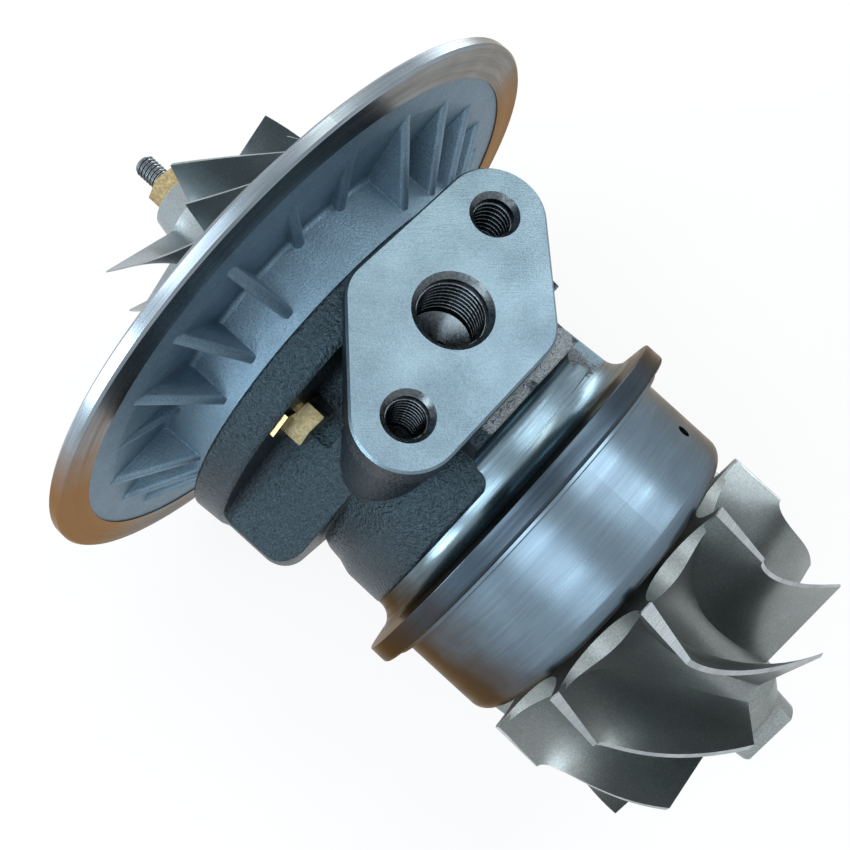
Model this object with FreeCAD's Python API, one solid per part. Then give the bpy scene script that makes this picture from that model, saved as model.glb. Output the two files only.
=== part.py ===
import FreeCAD, Part
import math
import os

from FreeCAD import Vector

# Turbo cartridge in millimetres. X is the rotor axis, from the compressor to the turbine.
# Z points to the oil inlet pad. The origin is on the axis, in the middle of the V-band clamp's land.
# Angles about the axis are in degrees from +Z towards +Y. A station is a place along X.

# Clearances
RUNNING_GAP = 0.03          # radial film gap at the journals
PILOT_GAP = 0.10            # radial gap of plates in their bores
BORE_GAP = 0.02             # radial gap of parts threaded over the shaft
END_PLAY = 0.05             # axial gap on each side of the thrust plate
WHEEL_BACK_GAP = 0.8        # compressor wheel back to backplate

# Bearing housing casting
FLANGE_FACE_X = -56.2       # where the backplate seats
FLANGE_R = 52.3
FLANGE_BACK_X = -47.5       # bolt seat
BODY_R = 51.4               # the block's corners behind the flange
BLOCK_FLAT = 37.2           # from the axis to each of the block's four flats
BLOCK_COVE = 3.0
BLOCK_BASE_Z = -45.0        # flat under the block, round the drain pad
BODY_END_X = -28.3
BODY_EDGE_ROUND = 6.0
RAMP_START_X = -34.0        # where the neck's cone leaves the block
RAMP_START_R = 35.4
NECK_START_X = -25.5
NECK_START_R = 38.7
NECK_MIDDLE_X = -18.0
NECK_MIDDLE_R = 39.5
NECK_END_R = 40.3           # where the neck curves up into the V-band flange
NECK_COVE = 4.5
COLLAR_R = 39.6             # raised band on the neck, cast a little off the axis
COLLAR_OFFSET = 1.6
COLLAR_ANGLE = -35.0
COLLAR_END_X = -7.9
COLLAR_ROUND = 0.9
MACHINED_NECK_R = 40.2
MACHINED_FROM_X = -14.4
MACHINED_END_X = -7.7
MACHINED_ANGLES = (-21.0, 40.0)
MACHINED_COVE = 3.5
MACHINED_CORNER = 3.2
VBAND_FACE_X = 2.7          # turbine face of the V-band flange
VBAND_R = 49.3
VBAND_THICK = 4.9
VBAND_TAPER = 1.4           # axial run of the tapered clamp face
VBAND_EDGE_ROUND = 0.9
NOSE_PILOT_R = 40.9
NOSE_PILOT_LENGTH = 3.0
NOSE_END_X = 24.2
NOSE_END_R = 18.5

# Oil inlet pad
PAD_TOP_Z = 55.0
PAD_THICK = 7.5
PAD_X = -35.9
PAD_EAR_OFFSET = (8.0, -22.25)      # bolt hole from the pad centre; the other is opposite
PAD_EAR_R = 11.0
PAD_SIDE_OFFSET = (10.0, 6.8)       # centre of the side rounding; the other is opposite
PAD_SIDE_R = 9.0
PAD_EDGE_CHAMFER = 0.5
PEDESTAL_INSET = 1.6
SHOULDER_TOP_Z = 45.0               # cast shoulder between the pad and the machined neck
SHOULDER_SIDES_Y = (-14.0, 19.0)
PORT_THREAD_R = 8.0                 # M16 x 1.5
PORT_CORE_R = 7.2
PORT_DEPTH = 16.0
PAD_BOLT_R = 5.0                    # M10 x 1.5
PAD_BOLT_CORE_R = 4.25
PAD_BOLT_DEPTH = 19.0
HOLE_CHAMFER = 0.35
OIL_FEED_R = 2.2

# Oil drain pad underneath
DRAIN_X = -22.0
DRAIN_FACE_Z = -52.0
DRAIN_THICK = 8.0
DRAIN_SIDE_R = 12.0
DRAIN_SIDE_OFFSET = 1.0
DRAIN_BORE_R = 9.5
DRAIN_BORE_END_Z = -16.0
DRAIN_WINDOW_X = (-23.0, -9.0)      # opening between the journal bearings
DRAIN_WINDOW_HALF_Y = 5.0
DRAIN_EAR_Y = 22.2
DRAIN_EAR_R = 7.5
DRAIN_BOLT_CORE_R = 3.4             # M8
DRAIN_BOLT_DEPTH = 15.0
DRAIN_BOLT_CHAMFER = 0.8

# Gallery plug on the far side of the pad
PLUG_X = -32.5
PLUG_ANGLE = 60.0
PLUG_R = 4.0
PLUG_BOSS_R = 5.5
PLUG_BOSS_TOP_R = 46.0
PLUG_LENGTH = 7.0
PLUG_KEY_FLATS = 4.0
PLUG_KEY_DEPTH = 3.0

# Housing bores
SEAL_PLATE_R = 30.9
SEAL_PLATE_SEAT_X = -49.7
SEAL_PLATE_THICK = 4.0
RETAINER_THICK = 1.5
RETAINER_WIDTH = 3.2
RETAINER_GROOVE_DEPTH = 1.6
RETAINER_GAP = 9.0
THRUST_PLATE_R = 23.5
THRUST_PLATE_THICK = 4.2
DEFLECTOR_THICK = 0.8
COLLAR_POCKET_R = 13.0
COLLAR_POCKET_END_X = -40.8
BEARING_OUTER_R = 9.5
BEARING_LENGTH = 12.0
BEARING_ROUND = 0.4
BEARING_OIL_HOLES = 6
BEARING_OIL_HOLE_R = 1.0
BEARING_GROOVE_DEPTH = 0.4
BEARING_GROOVE_HALF = 1.2
COMP_BEARING_X = -38.3
TURB_BEARING_X = -5.8
SNAP_RING_THICK = 1.2
SNAP_RING_DEPTH = 1.1
SNAP_RING_SIDE_GAP = 0.2
SNAP_RING_WIDTH = 2.2
SNAP_RING_GAP = 3.0
TURB_SEAL_BORE_R = 10.05
TURB_SEAL_BORE_X = 10.7
DRAIN_PASSAGE_R = 6.0
DRAIN_PASSAGE_END_X = 1.7
DRAIN_PASSAGE_OFFSET = 4.0  # inside the thrust pocket's edge
SEAL_CONE_X = -63.3         # where the seal plate's nose meets its cone
SEAL_POCKET_X = -56.8

# Backplate
RIM_R = 78.0
RIM_FRONT_X = -71.9
RIM_BACK_X = -68.9
RIM_CHAMFER = 0.5
RIM_STEP_R = 70.0
RIM_STEP = 0.4
BAND_INNER_R = 63.0
WEB_SLOPE = 1.8
BOSS_R = 45.8
BOSS_WALL_INNER_R = 33.5
PILOT_R = 67.8
DIFFUSER_WALL_X = -76.3
RECESS_X = -74.3
RECESS_R = 47.8
WEB_INSIDE_X = -68.9
CENTRE_BORE_R = 16.0
RIB_COUNT = 24
RIB_FIRST_ANGLE = 6.0
RIB_THICK = 2.6
RIB_FOOT_R = 64.2
RIB_TOP_X = -60.3
LOW_RIB_TOP_X = -68.3
LOW_RIBS = (-9.0, 6.0, 291.0)

# Backplate fastening
BOLT_COUNT = 4
BOLT_CIRCLE_R = 42.0
BOLT_FIRST_ANGLE = -44.4
BOLT_R = 2.5                        # M5
BOLT_LENGTH = 18.0
BOLT_HEAD_FLATS = 8.0
BOLT_HEAD_HEIGHT = 4.4
BOLT_HOLE_R = 2.8
TAPPED_R = 2.55
TAPPED_DEPTH = 12.0
WASHER_R = 5.6
WASHER_THICK = 1.0
WASHER_TONGUE = 3.0
SPOT_FACE_R = 6.3
SPOT_FACE_LENGTH = 9.0
DOWEL_R = 2.0
DOWEL_LENGTH = 10.0
DOWEL_ANGLE = 90.0

# O-rings
FACE_RING_R = 36.2
FACE_RING_WIRE_R = 1.2
FACE_GROOVE_DEPTH = 1.9
COVER_RING_WIRE_R = 1.1
PLATE_RING_WIRE_R = 1.1
GROOVE_SIDE_GAP = 0.15

# Heat shield
SHIELD_R = 42.7
SHIELD_WALL = 1.6
SHIELD_FLANGE_R = 45.4
SHIELD_FLANGE_THICK = 1.2
SHIELD_END_X = 27.8
SHIELD_ROUND = 4.0
SHIELD_HOLE_R = 13.5
SHIELD_VENT_R = 1.5
SHIELD_VENT_X = 16.0
SHIELD_VENT_ANGLE = 39.0

# Shaft
JOURNAL_R = 6.5
WAIST_R = 6.1
STUB_R = 3.6
THREAD_R = 2.95
THREAD_CORE_R = 2.55        # of the free end, where the turns show
SHAFT_END_X = -128.2
THREAD_INSIDE_WHEEL = 2.0
WELD_X = 25.2
TURB_BOSS_R = 9.9
RING_WIDTH = 1.6
RING_RADIAL = 1.5
RING_SIDE_GAP = 0.1
TURB_RING_X = 18.7
COMP_RING_X = -69.3
SLEEVE_R = 8.6
SLEEVE_BORE_GAP = 0.15

# Thrust parts
THRUST_FACE_R = 11.5
THRUST_NECK_R = 8.0
COLLAR_FLANGE_THICK = 2.75
THRUST_PIN_R = 1.5
THRUST_PIN_CIRCLE_R = 19.0
THRUST_PIN_ANGLES = (60.0, 300.0)
THRUST_PADS = 6
PAD_GROOVE_DEPTH = 0.6
PAD_GROOVE_WIDTH = 1.6
PAD_GROOVE_LENGTH = 5.0
FLINGER_R = 12.4
FLINGER_X = -62.1
FLINGER_THICK = 2.0

# Turbine wheel
TURB_BLADES = 10
TURB_R = 43.3
TURB_BACK_X = 30.4
TURB_DISC_EDGE = 1.2
TURB_INLET_FRONT_X = 43.5
TURB_EXIT_X = 65.1
TURB_EXIT_R = 38.6
TURB_ROOT_X = 68.7
TURB_ROOT_R = 13.0
TURB_NOSE_X = 80.9
TURB_NOSE_R = 8.6
TURB_FIRST_ANGLE = 18.0
TURB_INLET_SKEW = -3.0
TURB_EXIT_WRAP = 30.0
TURB_WRAP_POWER = 1.8
TURB_ROOT_THICK = 3.2
TURB_TIP_THICK = 1.3
TURB_SCALLOP_R = 12.2
TURB_BACK_BOSS_R = 11.6

# Compressor wheel
COMP_BLADES = 6
COMP_R = 47.0
COMP_DISC_EDGE = 1.5
COMP_EXIT_WIDTH = 5.8
COMP_EYE_X = -107.2
COMP_EYE_R = 31.0
COMP_HUB_EYE_R = 10.0
COMP_NOSE_X = -113.9
COMP_NOSE_R = 8.6
COMP_FIRST_ANGLE = -13.0
COMP_TIP_WRAP = 60.0
COMP_BACKSWEEP = 8.0
COMP_SPLITTER_START = 0.241
COMP_ROOT_THICK = 1.9
COMP_TIP_THICK = 0.7

# Shaft nut
NUT_FLATS = 10.0
NUT_HEIGHT = 6.0
NUT_COLLAR_R = 6.9
NUT_COLLAR_THICK = 1.5

DRILL_HALF_ANGLE = 59.0
DRILL_WEB = 0.15            # blunt middle of a drill's point, as a share of its radius
ROOT_SINK = 1.0             # how deep a blade root lies in its hub
CURVE_POINTS = 9            # points that fix one blade curve

X_AXIS = Vector(1, 0, 0)
ORIGIN = Vector(0, 0, 0)

# Sizes worked out from the ones above
THRUST_POCKET_R = THRUST_PLATE_R + PILOT_GAP
THRUST_PLATE_X = SEAL_PLATE_SEAT_X + DEFLECTOR_THICK
THRUST_POCKET_END_X = THRUST_PLATE_X + THRUST_PLATE_THICK
HOUSING_BORE_R = BEARING_OUTER_R + RUNNING_GAP
RETAINER_X = SEAL_PLATE_SEAT_X - SEAL_PLATE_THICK - RETAINER_THICK
SEAL_NOSE_R = CENTRE_BORE_R - PILOT_GAP
SEAL_BORE_R = SLEEVE_R + SLEEVE_BORE_GAP
COMP_BACK_X = RECESS_X - WHEEL_BACK_GAP
COMP_HUB_BACK_X = COMP_BACK_X + 1.0
COMP_RIM_FRONT_X = COMP_BACK_X - COMP_DISC_EDGE
WEB_BACK_X = RIM_BACK_X - RIM_STEP


def at_angle(radius, angle, x=0.0):
    """A point at a radius and an angle about the axis."""
    turn = math.radians(angle)
    return Vector(x, radius * math.sin(turn), radius * math.cos(turn))


def turned(shape, angle):
    """A copy turned about the axis, from +Z towards +Y."""
    copy = shape.copy()
    copy.rotate(ORIGIN, X_AXIS, -angle)
    return copy


def outline(corners, place):
    """A closed wire through the corners. A corner's third number is its rounding radius."""
    count = len(corners)
    flat = [Vector(corner[0], corner[1], 0) for corner in corners]
    runs = []
    for index, corner in enumerate(corners):
        here = flat[index]
        radius = corner[2] if len(corner) > 2 else 0.0
        if radius <= 0.0:
            runs.append((here, None, here))
            continue
        back = (flat[index - 1] - here).normalize()
        ahead = (flat[(index + 1) % count] - here).normalize()
        half = back.getAngle(ahead) / 2
        bisector = (back + ahead).normalize()
        reach = radius / math.tan(half)
        middle = here + bisector * (radius / math.sin(half) - radius)
        runs.append((here + back * reach, middle, here + ahead * reach))
    edges = []
    for index, (start, middle, end) in enumerate(runs):
        if middle is not None:
            edges.append(Part.Arc(place(start), place(middle), place(end)).toShape())
        next_start = runs[(index + 1) % count][0]
        if (next_start - end).Length > 1e-6:
            edges.append(Part.LineSegment(place(end), place(next_start)).toShape())
    return Part.Wire(edges)


def turned_solid(corners, angle=360.0):
    """A solid turned about the axis from corners (station, radius, rounding)."""
    wire = outline(corners, lambda point: Vector(point.x, 0, point.y))
    return Part.Face(wire).revolve(ORIGIN, X_AXIS, angle)


def cylinder_x(radius, start, end, y=0.0, z=0.0):
    """A round bar parallel to the rotor axis."""
    return Part.makeCylinder(radius, end - start, Vector(start, y, z), X_AXIS)


def ring_x(outer, inner, start, end):
    """A plain ring about the rotor axis."""
    return turned_solid([(start, inner), (start, outer), (end, outer), (end, inner)])


def o_ring(centre_r, wire_r, x):
    """A round-section ring about the rotor axis."""
    return Part.makeTorus(centre_r, wire_r, Vector(x, 0, 0), X_AXIS)


def hexagon_x(flats, start, end, y=0.0, z=0.0):
    """A hexagonal bar parallel to the rotor axis, with its top corners rounded by a cone."""
    corner_r = flats / math.sqrt(3)
    points = [Vector(start, y + corner_r * math.cos(math.radians(60 * k)),
                     z + corner_r * math.sin(math.radians(60 * k))) for k in range(7)]
    bar = Part.Face(Part.makePolygon(points)).extrude(Vector(end - start, 0, 0))
    return bar


def split_ring(outer, inner, start, end, gap, angle):
    """A spring ring with a gap in it."""
    ring = ring_x(outer, inner, start, end)
    cut = Part.makeBox(end - start + 2, gap, outer * 2, Vector(start - 1, -gap / 2, 0))
    return ring.cut(turned(cut, angle))


def hull_of_discs(discs, bottom, top, inset=0.0):
    """A plate whose outline wraps round discs (x, y, radius), listed anticlockwise."""
    count = len(discs)
    tangents = []
    for index in range(count):
        x0, y0, r0 = discs[index]
        x1, y1, r1 = discs[(index + 1) % count]
        r0, r1 = r0 - inset, r1 - inset
        distance = math.hypot(x1 - x0, y1 - y0)
        heading = math.atan2(y1 - y0, x1 - x0)
        normal = heading - math.acos((r0 - r1) / distance)
        away = Vector(math.cos(normal), math.sin(normal), 0)
        tangents.append((Vector(x0, y0, bottom) + away * r0, Vector(x1, y1, bottom) + away * r1, away))
    edges = []
    for index in range(count):
        start, end, away = tangents[index]
        next_start, _, next_away = tangents[(index + 1) % count]
        edges.append(Part.LineSegment(start, end).toShape())
        x, y, radius = discs[(index + 1) % count]
        middle = Vector(x, y, bottom) + (away + next_away).normalize() * (radius - inset)
        edges.append(Part.Arc(end, middle, next_start).toShape())
    return Part.Face(Part.Wire(edges)).extrude(Vector(0, 0, top - bottom))


def drilled(radius, depth, top, chamfer=0.0, direction=Vector(0, 0, -1)):
    """A cutter for a blind hole with a drill's blunt cone at its bottom and a chamfered mouth."""
    web = DRILL_WEB * radius
    tip = (radius - web) / math.tan(math.radians(DRILL_HALF_ANGLE))
    cutter = Part.makeCylinder(radius, depth, top, direction)
    cutter = cutter.fuse(Part.makeCone(radius, web, tip, top + direction * depth, direction))
    if chamfer > 0.0:
        cutter = cutter.fuse(Part.makeCone(radius + chamfer, radius, chamfer, top, direction))
    return cutter


def bolt_places():
    """Centre (y, z) and angle of each backplate bolt."""
    places = []
    for index in range(BOLT_COUNT):
        angle = BOLT_FIRST_ANGLE + index * 360.0 / BOLT_COUNT
        point = at_angle(BOLT_CIRCLE_R, angle)
        places.append((point.y, point.z, angle))
    return places


def pad_discs():
    """The four discs that the oil pad's outline wraps round."""
    ear_x, ear_y = PAD_EAR_OFFSET
    side_x, side_y = PAD_SIDE_OFFSET
    return [(PAD_X + ear_x, ear_y, PAD_EAR_R), (PAD_X + side_x, side_y, PAD_SIDE_R),
            (PAD_X - ear_x, -ear_y, PAD_EAR_R), (PAD_X - side_x, -side_y, PAD_SIDE_R)]


def housing_body():
    """The turned forms of the casting: flange, neck and V-band flange with its nose."""
    face_x = VBAND_FACE_X
    taper_x = face_x - VBAND_THICK - VBAND_TAPER
    pilot_x = face_x + NOSE_PILOT_LENGTH
    return turned_solid([
        (FLANGE_FACE_X, 0), (FLANGE_FACE_X, FLANGE_R, 0.8), (FLANGE_BACK_X, FLANGE_R - 0.6, 1.2),
        (FLANGE_BACK_X, RAMP_START_R), (RAMP_START_X, RAMP_START_R),
        (NECK_START_X, NECK_START_R, 6.0), (NECK_MIDDLE_X, NECK_MIDDLE_R), (taper_x, NECK_END_R, NECK_COVE),
        (face_x - VBAND_THICK, VBAND_R, 0.3),
        (face_x, VBAND_R, VBAND_EDGE_ROUND), (face_x, NOSE_PILOT_R), (pilot_x, NOSE_PILOT_R, 0.5),
        (pilot_x, NOSE_PILOT_R - 3.0, 1.5), (NOSE_END_X - 4.0, NOSE_END_R + 3.0, 4.0),
        (NOSE_END_X, NOSE_END_R, 0.8), (NOSE_END_X, 0)])


def housing_block():
    """The block behind the flange, with one flat and a cove for each backplate bolt."""
    block = turned_solid([
        (FLANGE_BACK_X - 1.0, 0), (FLANGE_BACK_X - 1.0, BODY_R), (BODY_END_X, BODY_R - 0.4, BODY_EDGE_ROUND),
        (BODY_END_X, 0)])
    corners = [(FLANGE_BACK_X, BODY_R + 10.0), (FLANGE_BACK_X, BLOCK_FLAT, BLOCK_COVE),
               (BODY_END_X + 1.0, BLOCK_FLAT), (BODY_END_X + 1.0, BODY_R + 10.0)]
    wire = outline(corners, lambda point: Vector(point.x, -BODY_R, point.y))
    flat = Part.Face(wire).extrude(Vector(0, 2 * BODY_R, 0))
    below = Part.makeBox(BODY_END_X - FLANGE_BACK_X + 4.0, 2 * BODY_R, BODY_R,
                         Vector(FLANGE_BACK_X - 2.0, -BODY_R, BLOCK_BASE_Z - BODY_R))
    return block.cut([turned(flat, angle) for _, _, angle in bolt_places()] + [below])


def raised_collar():
    """The raised band on the neck, a little off the axis as cast."""
    collar = turned_solid([
        (RAMP_START_X, 0), (RAMP_START_X, RAMP_START_R - 1.0),
        (NECK_MIDDLE_X, COLLAR_R, 6.0), (COLLAR_END_X, COLLAR_R, COLLAR_ROUND), (COLLAR_END_X, 0)])
    collar.translate(at_angle(COLLAR_OFFSET, COLLAR_ANGLE))
    return collar


def machined_neck_cut():
    """The turned relief on the pad side of the neck, with coves and a rounded end."""
    start, end = MACHINED_ANGLES
    profile = [(MACHINED_FROM_X, MACHINED_NECK_R, MACHINED_COVE), (MACHINED_FROM_X, PAD_TOP_Z),
               (MACHINED_END_X, PAD_TOP_Z), (MACHINED_END_X, MACHINED_NECK_R)]
    overlap = 10.0
    main = turned(turned_solid(profile, end - start - overlap), end)
    corner = turned(turned_solid(profile, 3 * overlap), start + 1.5 * overlap)
    reach = 3 * MACHINED_CORNER
    plan = [(MACHINED_FROM_X, reach), (MACHINED_FROM_X, 0, MACHINED_CORNER),
            (COLLAR_END_X, 0, MACHINED_CORNER), (COLLAR_END_X, -reach),
            (MACHINED_END_X + 1.0, -reach), (MACHINED_END_X + 1.0, reach)]
    wire = outline(plan, lambda point: Vector(point.x, point.y, MACHINED_NECK_R - 3.0))
    prism = turned(Part.Face(wire).extrude(Vector(0, 0, PAD_TOP_Z)), start)
    return [main, corner.common(prism)]


def spot_faces():
    """Clears the block round each bolt head and washer."""
    return [cylinder_x(SPOT_FACE_R, FLANGE_BACK_X, FLANGE_BACK_X + SPOT_FACE_LENGTH, y, z)
            for y, z, _ in bolt_places()]


def housing_bores():
    """All that is bored out along the rotor axis."""
    plate_r = SEAL_PLATE_R + PILOT_GAP
    cutters = [turned_solid([
        (FLANGE_FACE_X - 1, 0), (FLANGE_FACE_X - 1, plate_r), (SEAL_PLATE_SEAT_X, plate_r),
        (SEAL_PLATE_SEAT_X, THRUST_POCKET_R), (THRUST_POCKET_END_X, THRUST_POCKET_R),
        (THRUST_POCKET_END_X, COLLAR_POCKET_R), (COLLAR_POCKET_END_X, COLLAR_POCKET_R),
        (COLLAR_POCKET_END_X, HOUSING_BORE_R), (TURB_SEAL_BORE_X, HOUSING_BORE_R),
        (TURB_SEAL_BORE_X, TURB_SEAL_BORE_R), (NOSE_END_X + 1, TURB_SEAL_BORE_R),
        (NOSE_END_X + 1, 0)])]
    for start in snap_ring_stations():
        cutters.append(cylinder_x(HOUSING_BORE_R + SNAP_RING_DEPTH, start, start + SNAP_RING_THICK))
    cutters.append(cylinder_x(plate_r + RETAINER_GROOVE_DEPTH, RETAINER_X, RETAINER_X + RETAINER_THICK))
    for angle in THRUST_PIN_ANGLES:
        point = at_angle(THRUST_PIN_CIRCLE_R, angle)
        cutters.append(cylinder_x(THRUST_PIN_R + BORE_GAP, THRUST_POCKET_END_X - 0.5,
                                  THRUST_POCKET_END_X + 3.0, point.y, point.z))
    return cutters


def snap_ring_stations():
    """Where each bearing snap ring starts, two beside each journal bearing."""
    stations = []
    for start in (COMP_BEARING_X, TURB_BEARING_X):
        stations.append(start - SNAP_RING_SIDE_GAP - SNAP_RING_THICK)
        stations.append(start + BEARING_LENGTH + SNAP_RING_SIDE_GAP)
    return stations


def oil_passages():
    """Inlet port, bolt holes, feed drillings to both journals, and the drain."""
    pad_top = Vector(PAD_X, 0, PAD_TOP_Z)
    down = Vector(0, 0, -1)
    cutters = [drilled(PORT_CORE_R, PORT_DEPTH, pad_top, PORT_THREAD_R - PORT_CORE_R + HOLE_CHAMFER)]
    for sign in (1, -1):
        top = Vector(PAD_X + sign * PAD_EAR_OFFSET[0], sign * PAD_EAR_OFFSET[1], PAD_TOP_Z)
        cutters.append(drilled(PAD_BOLT_CORE_R, PAD_BOLT_DEPTH, top,
                               PAD_BOLT_R - PAD_BOLT_CORE_R + HOLE_CHAMFER))
    start = Vector(PAD_X, 0, PAD_TOP_Z - PORT_DEPTH + 2.0)
    for bearing_x in (COMP_BEARING_X, TURB_BEARING_X):
        end = Vector(bearing_x + BEARING_LENGTH / 2, 0, HOUSING_BORE_R - 1.0)
        path = end - start
        cutters.append(Part.makeCylinder(OIL_FEED_R, path.Length, start, path))
    cutters.append(Part.makeCylinder(DRAIN_BORE_R, DRAIN_BORE_END_Z - DRAIN_FACE_Z + 1.0,
                                     Vector(DRAIN_X, 0, DRAIN_FACE_Z - 1.0), Vector(0, 0, 1)))
    window_start, window_end = DRAIN_WINDOW_X
    cutters.append(Part.makeBox(window_end - window_start, 2 * DRAIN_WINDOW_HALF_Y, 2.0 - DRAIN_BORE_END_Z,
                                Vector(window_start, -DRAIN_WINDOW_HALF_Y, DRAIN_BORE_END_Z - 2.0)))
    cutters.append(cylinder_x(DRAIN_PASSAGE_R, THRUST_PLATE_X - 0.5, DRAIN_PASSAGE_END_X,
                              0, -(THRUST_POCKET_R - DRAIN_PASSAGE_OFFSET)))
    for sign in (1, -1):
        top = Vector(DRAIN_X, sign * DRAIN_EAR_Y, DRAIN_FACE_Z)
        cutters.append(drilled(DRAIN_BOLT_CORE_R, DRAIN_BOLT_DEPTH, top, DRAIN_BOLT_CHAMFER,
                               -down))
    return cutters


def plug_frame(shape):
    """Moves a shape built along +Z at the axis to the gallery plug's place and tilt."""
    placed = turned(shape, PLUG_ANGLE)
    placed.translate(Vector(PLUG_X, 0, 0))
    return placed


def bearing_housing():
    """The iron casting with its pads, pockets and bores."""
    body = housing_body()
    plate_bottom = PAD_TOP_Z - PAD_THICK
    pad = hull_of_discs(pad_discs(), plate_bottom, PAD_TOP_Z)
    rim = [edge for edge in pad.Edges
           if abs(edge.BoundBox.ZMin - PAD_TOP_Z) < 1e-6]
    pad = pad.makeChamfer(PAD_EDGE_CHAMFER, rim)
    pedestal = hull_of_discs(pad_discs(), 20.0, plate_bottom, PEDESTAL_INSET)
    side_start, side_end = SHOULDER_SIDES_Y
    shoulder = Part.makeBox(MACHINED_FROM_X + MACHINED_COVE - PAD_X, side_end - side_start,
                            SHOULDER_TOP_Z - RAMP_START_R,
                            Vector(PAD_X, side_start, RAMP_START_R))
    drain_discs = [(DRAIN_X, -DRAIN_EAR_Y, DRAIN_EAR_R),
                   (DRAIN_X + DRAIN_SIDE_OFFSET, 0, DRAIN_SIDE_R),
                   (DRAIN_X, DRAIN_EAR_Y, DRAIN_EAR_R),
                   (DRAIN_X - DRAIN_SIDE_OFFSET, 0, DRAIN_SIDE_R)]
    drain = hull_of_discs(drain_discs, DRAIN_FACE_Z, DRAIN_FACE_Z + DRAIN_THICK)
    drain_neck = hull_of_discs(drain_discs, DRAIN_FACE_Z + DRAIN_THICK, -12.0, PEDESTAL_INSET)
    boss = plug_frame(Part.makeCylinder(PLUG_BOSS_R, PLUG_BOSS_TOP_R - 20.0, Vector(0, 0, 20.0)))
    shape = body.fuse([housing_block(), raised_collar(), shoulder]).cut(machined_neck_cut())
    shape = shape.fuse([pad, pedestal, drain, drain_neck, boss])
    cutters = housing_bores() + oil_passages() + spot_faces()
    for y, z, _ in bolt_places():
        cutters.append(cylinder_x(BOLT_HOLE_R, FLANGE_FACE_X - 1, FLANGE_BACK_X + 1, y, z))
    dowel = at_angle(BOLT_CIRCLE_R, DOWEL_ANGLE)
    cutters.append(cylinder_x(DOWEL_R + BORE_GAP, FLANGE_FACE_X - 1,
                              FLANGE_FACE_X + DOWEL_LENGTH / 2, dowel.y, dowel.z))
    cutters.append(plug_frame(Part.makeCylinder(PLUG_R + BORE_GAP, PLUG_LENGTH + 1.0,
                                                Vector(0, 0, PLUG_BOSS_TOP_R - PLUG_LENGTH))))
    return shape.cut(cutters).removeSplitter()


def gallery_plug():
    """Threaded plug with a hexagon socket, flush with its boss."""
    body = Part.makeCylinder(PLUG_R, PLUG_LENGTH, Vector(0, 0, PLUG_BOSS_TOP_R - PLUG_LENGTH))
    body = body.makeChamfer(0.5, [edge for edge in body.Edges
                                  if abs(edge.BoundBox.ZMin - PLUG_BOSS_TOP_R) < 1e-6])
    corner_r = PLUG_KEY_FLATS / math.sqrt(3)
    points = [Vector(corner_r * math.cos(math.radians(60 * k)),
                     corner_r * math.sin(math.radians(60 * k)), PLUG_BOSS_TOP_R - PLUG_KEY_DEPTH)
              for k in range(7)]
    socket = Part.Face(Part.makePolygon(points)).extrude(Vector(0, 0, PLUG_KEY_DEPTH + 1.0))
    return plug_frame(body.cut(socket))


def rib(top_x):
    """One cast rib, standing on the web and leaning from the boss to the rim band."""
    foot_x = WEB_BACK_X - WEB_SLOPE - 1.5
    corners = [(BOSS_R - 2.0, foot_x), (BOSS_R - 2.0, top_x), (BOSS_R + 0.5, top_x),
               (RIB_FOOT_R, WEB_BACK_X), (RIB_FOOT_R, foot_x)]
    wire = outline(corners, lambda point: Vector(point.y, -RIB_THICK / 2, point.x))
    plate = Part.Face(wire).extrude(Vector(0, RIB_THICK, 0))
    ridge = [edge for edge in plate.Edges
             if edge.BoundBox.YLength < 1e-6 and edge.BoundBox.ZMin > BOSS_R
             and edge.BoundBox.XMin >= WEB_BACK_X - 1e-6]
    return plate.makeFillet(RIB_THICK * 0.42, ridge)


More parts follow.
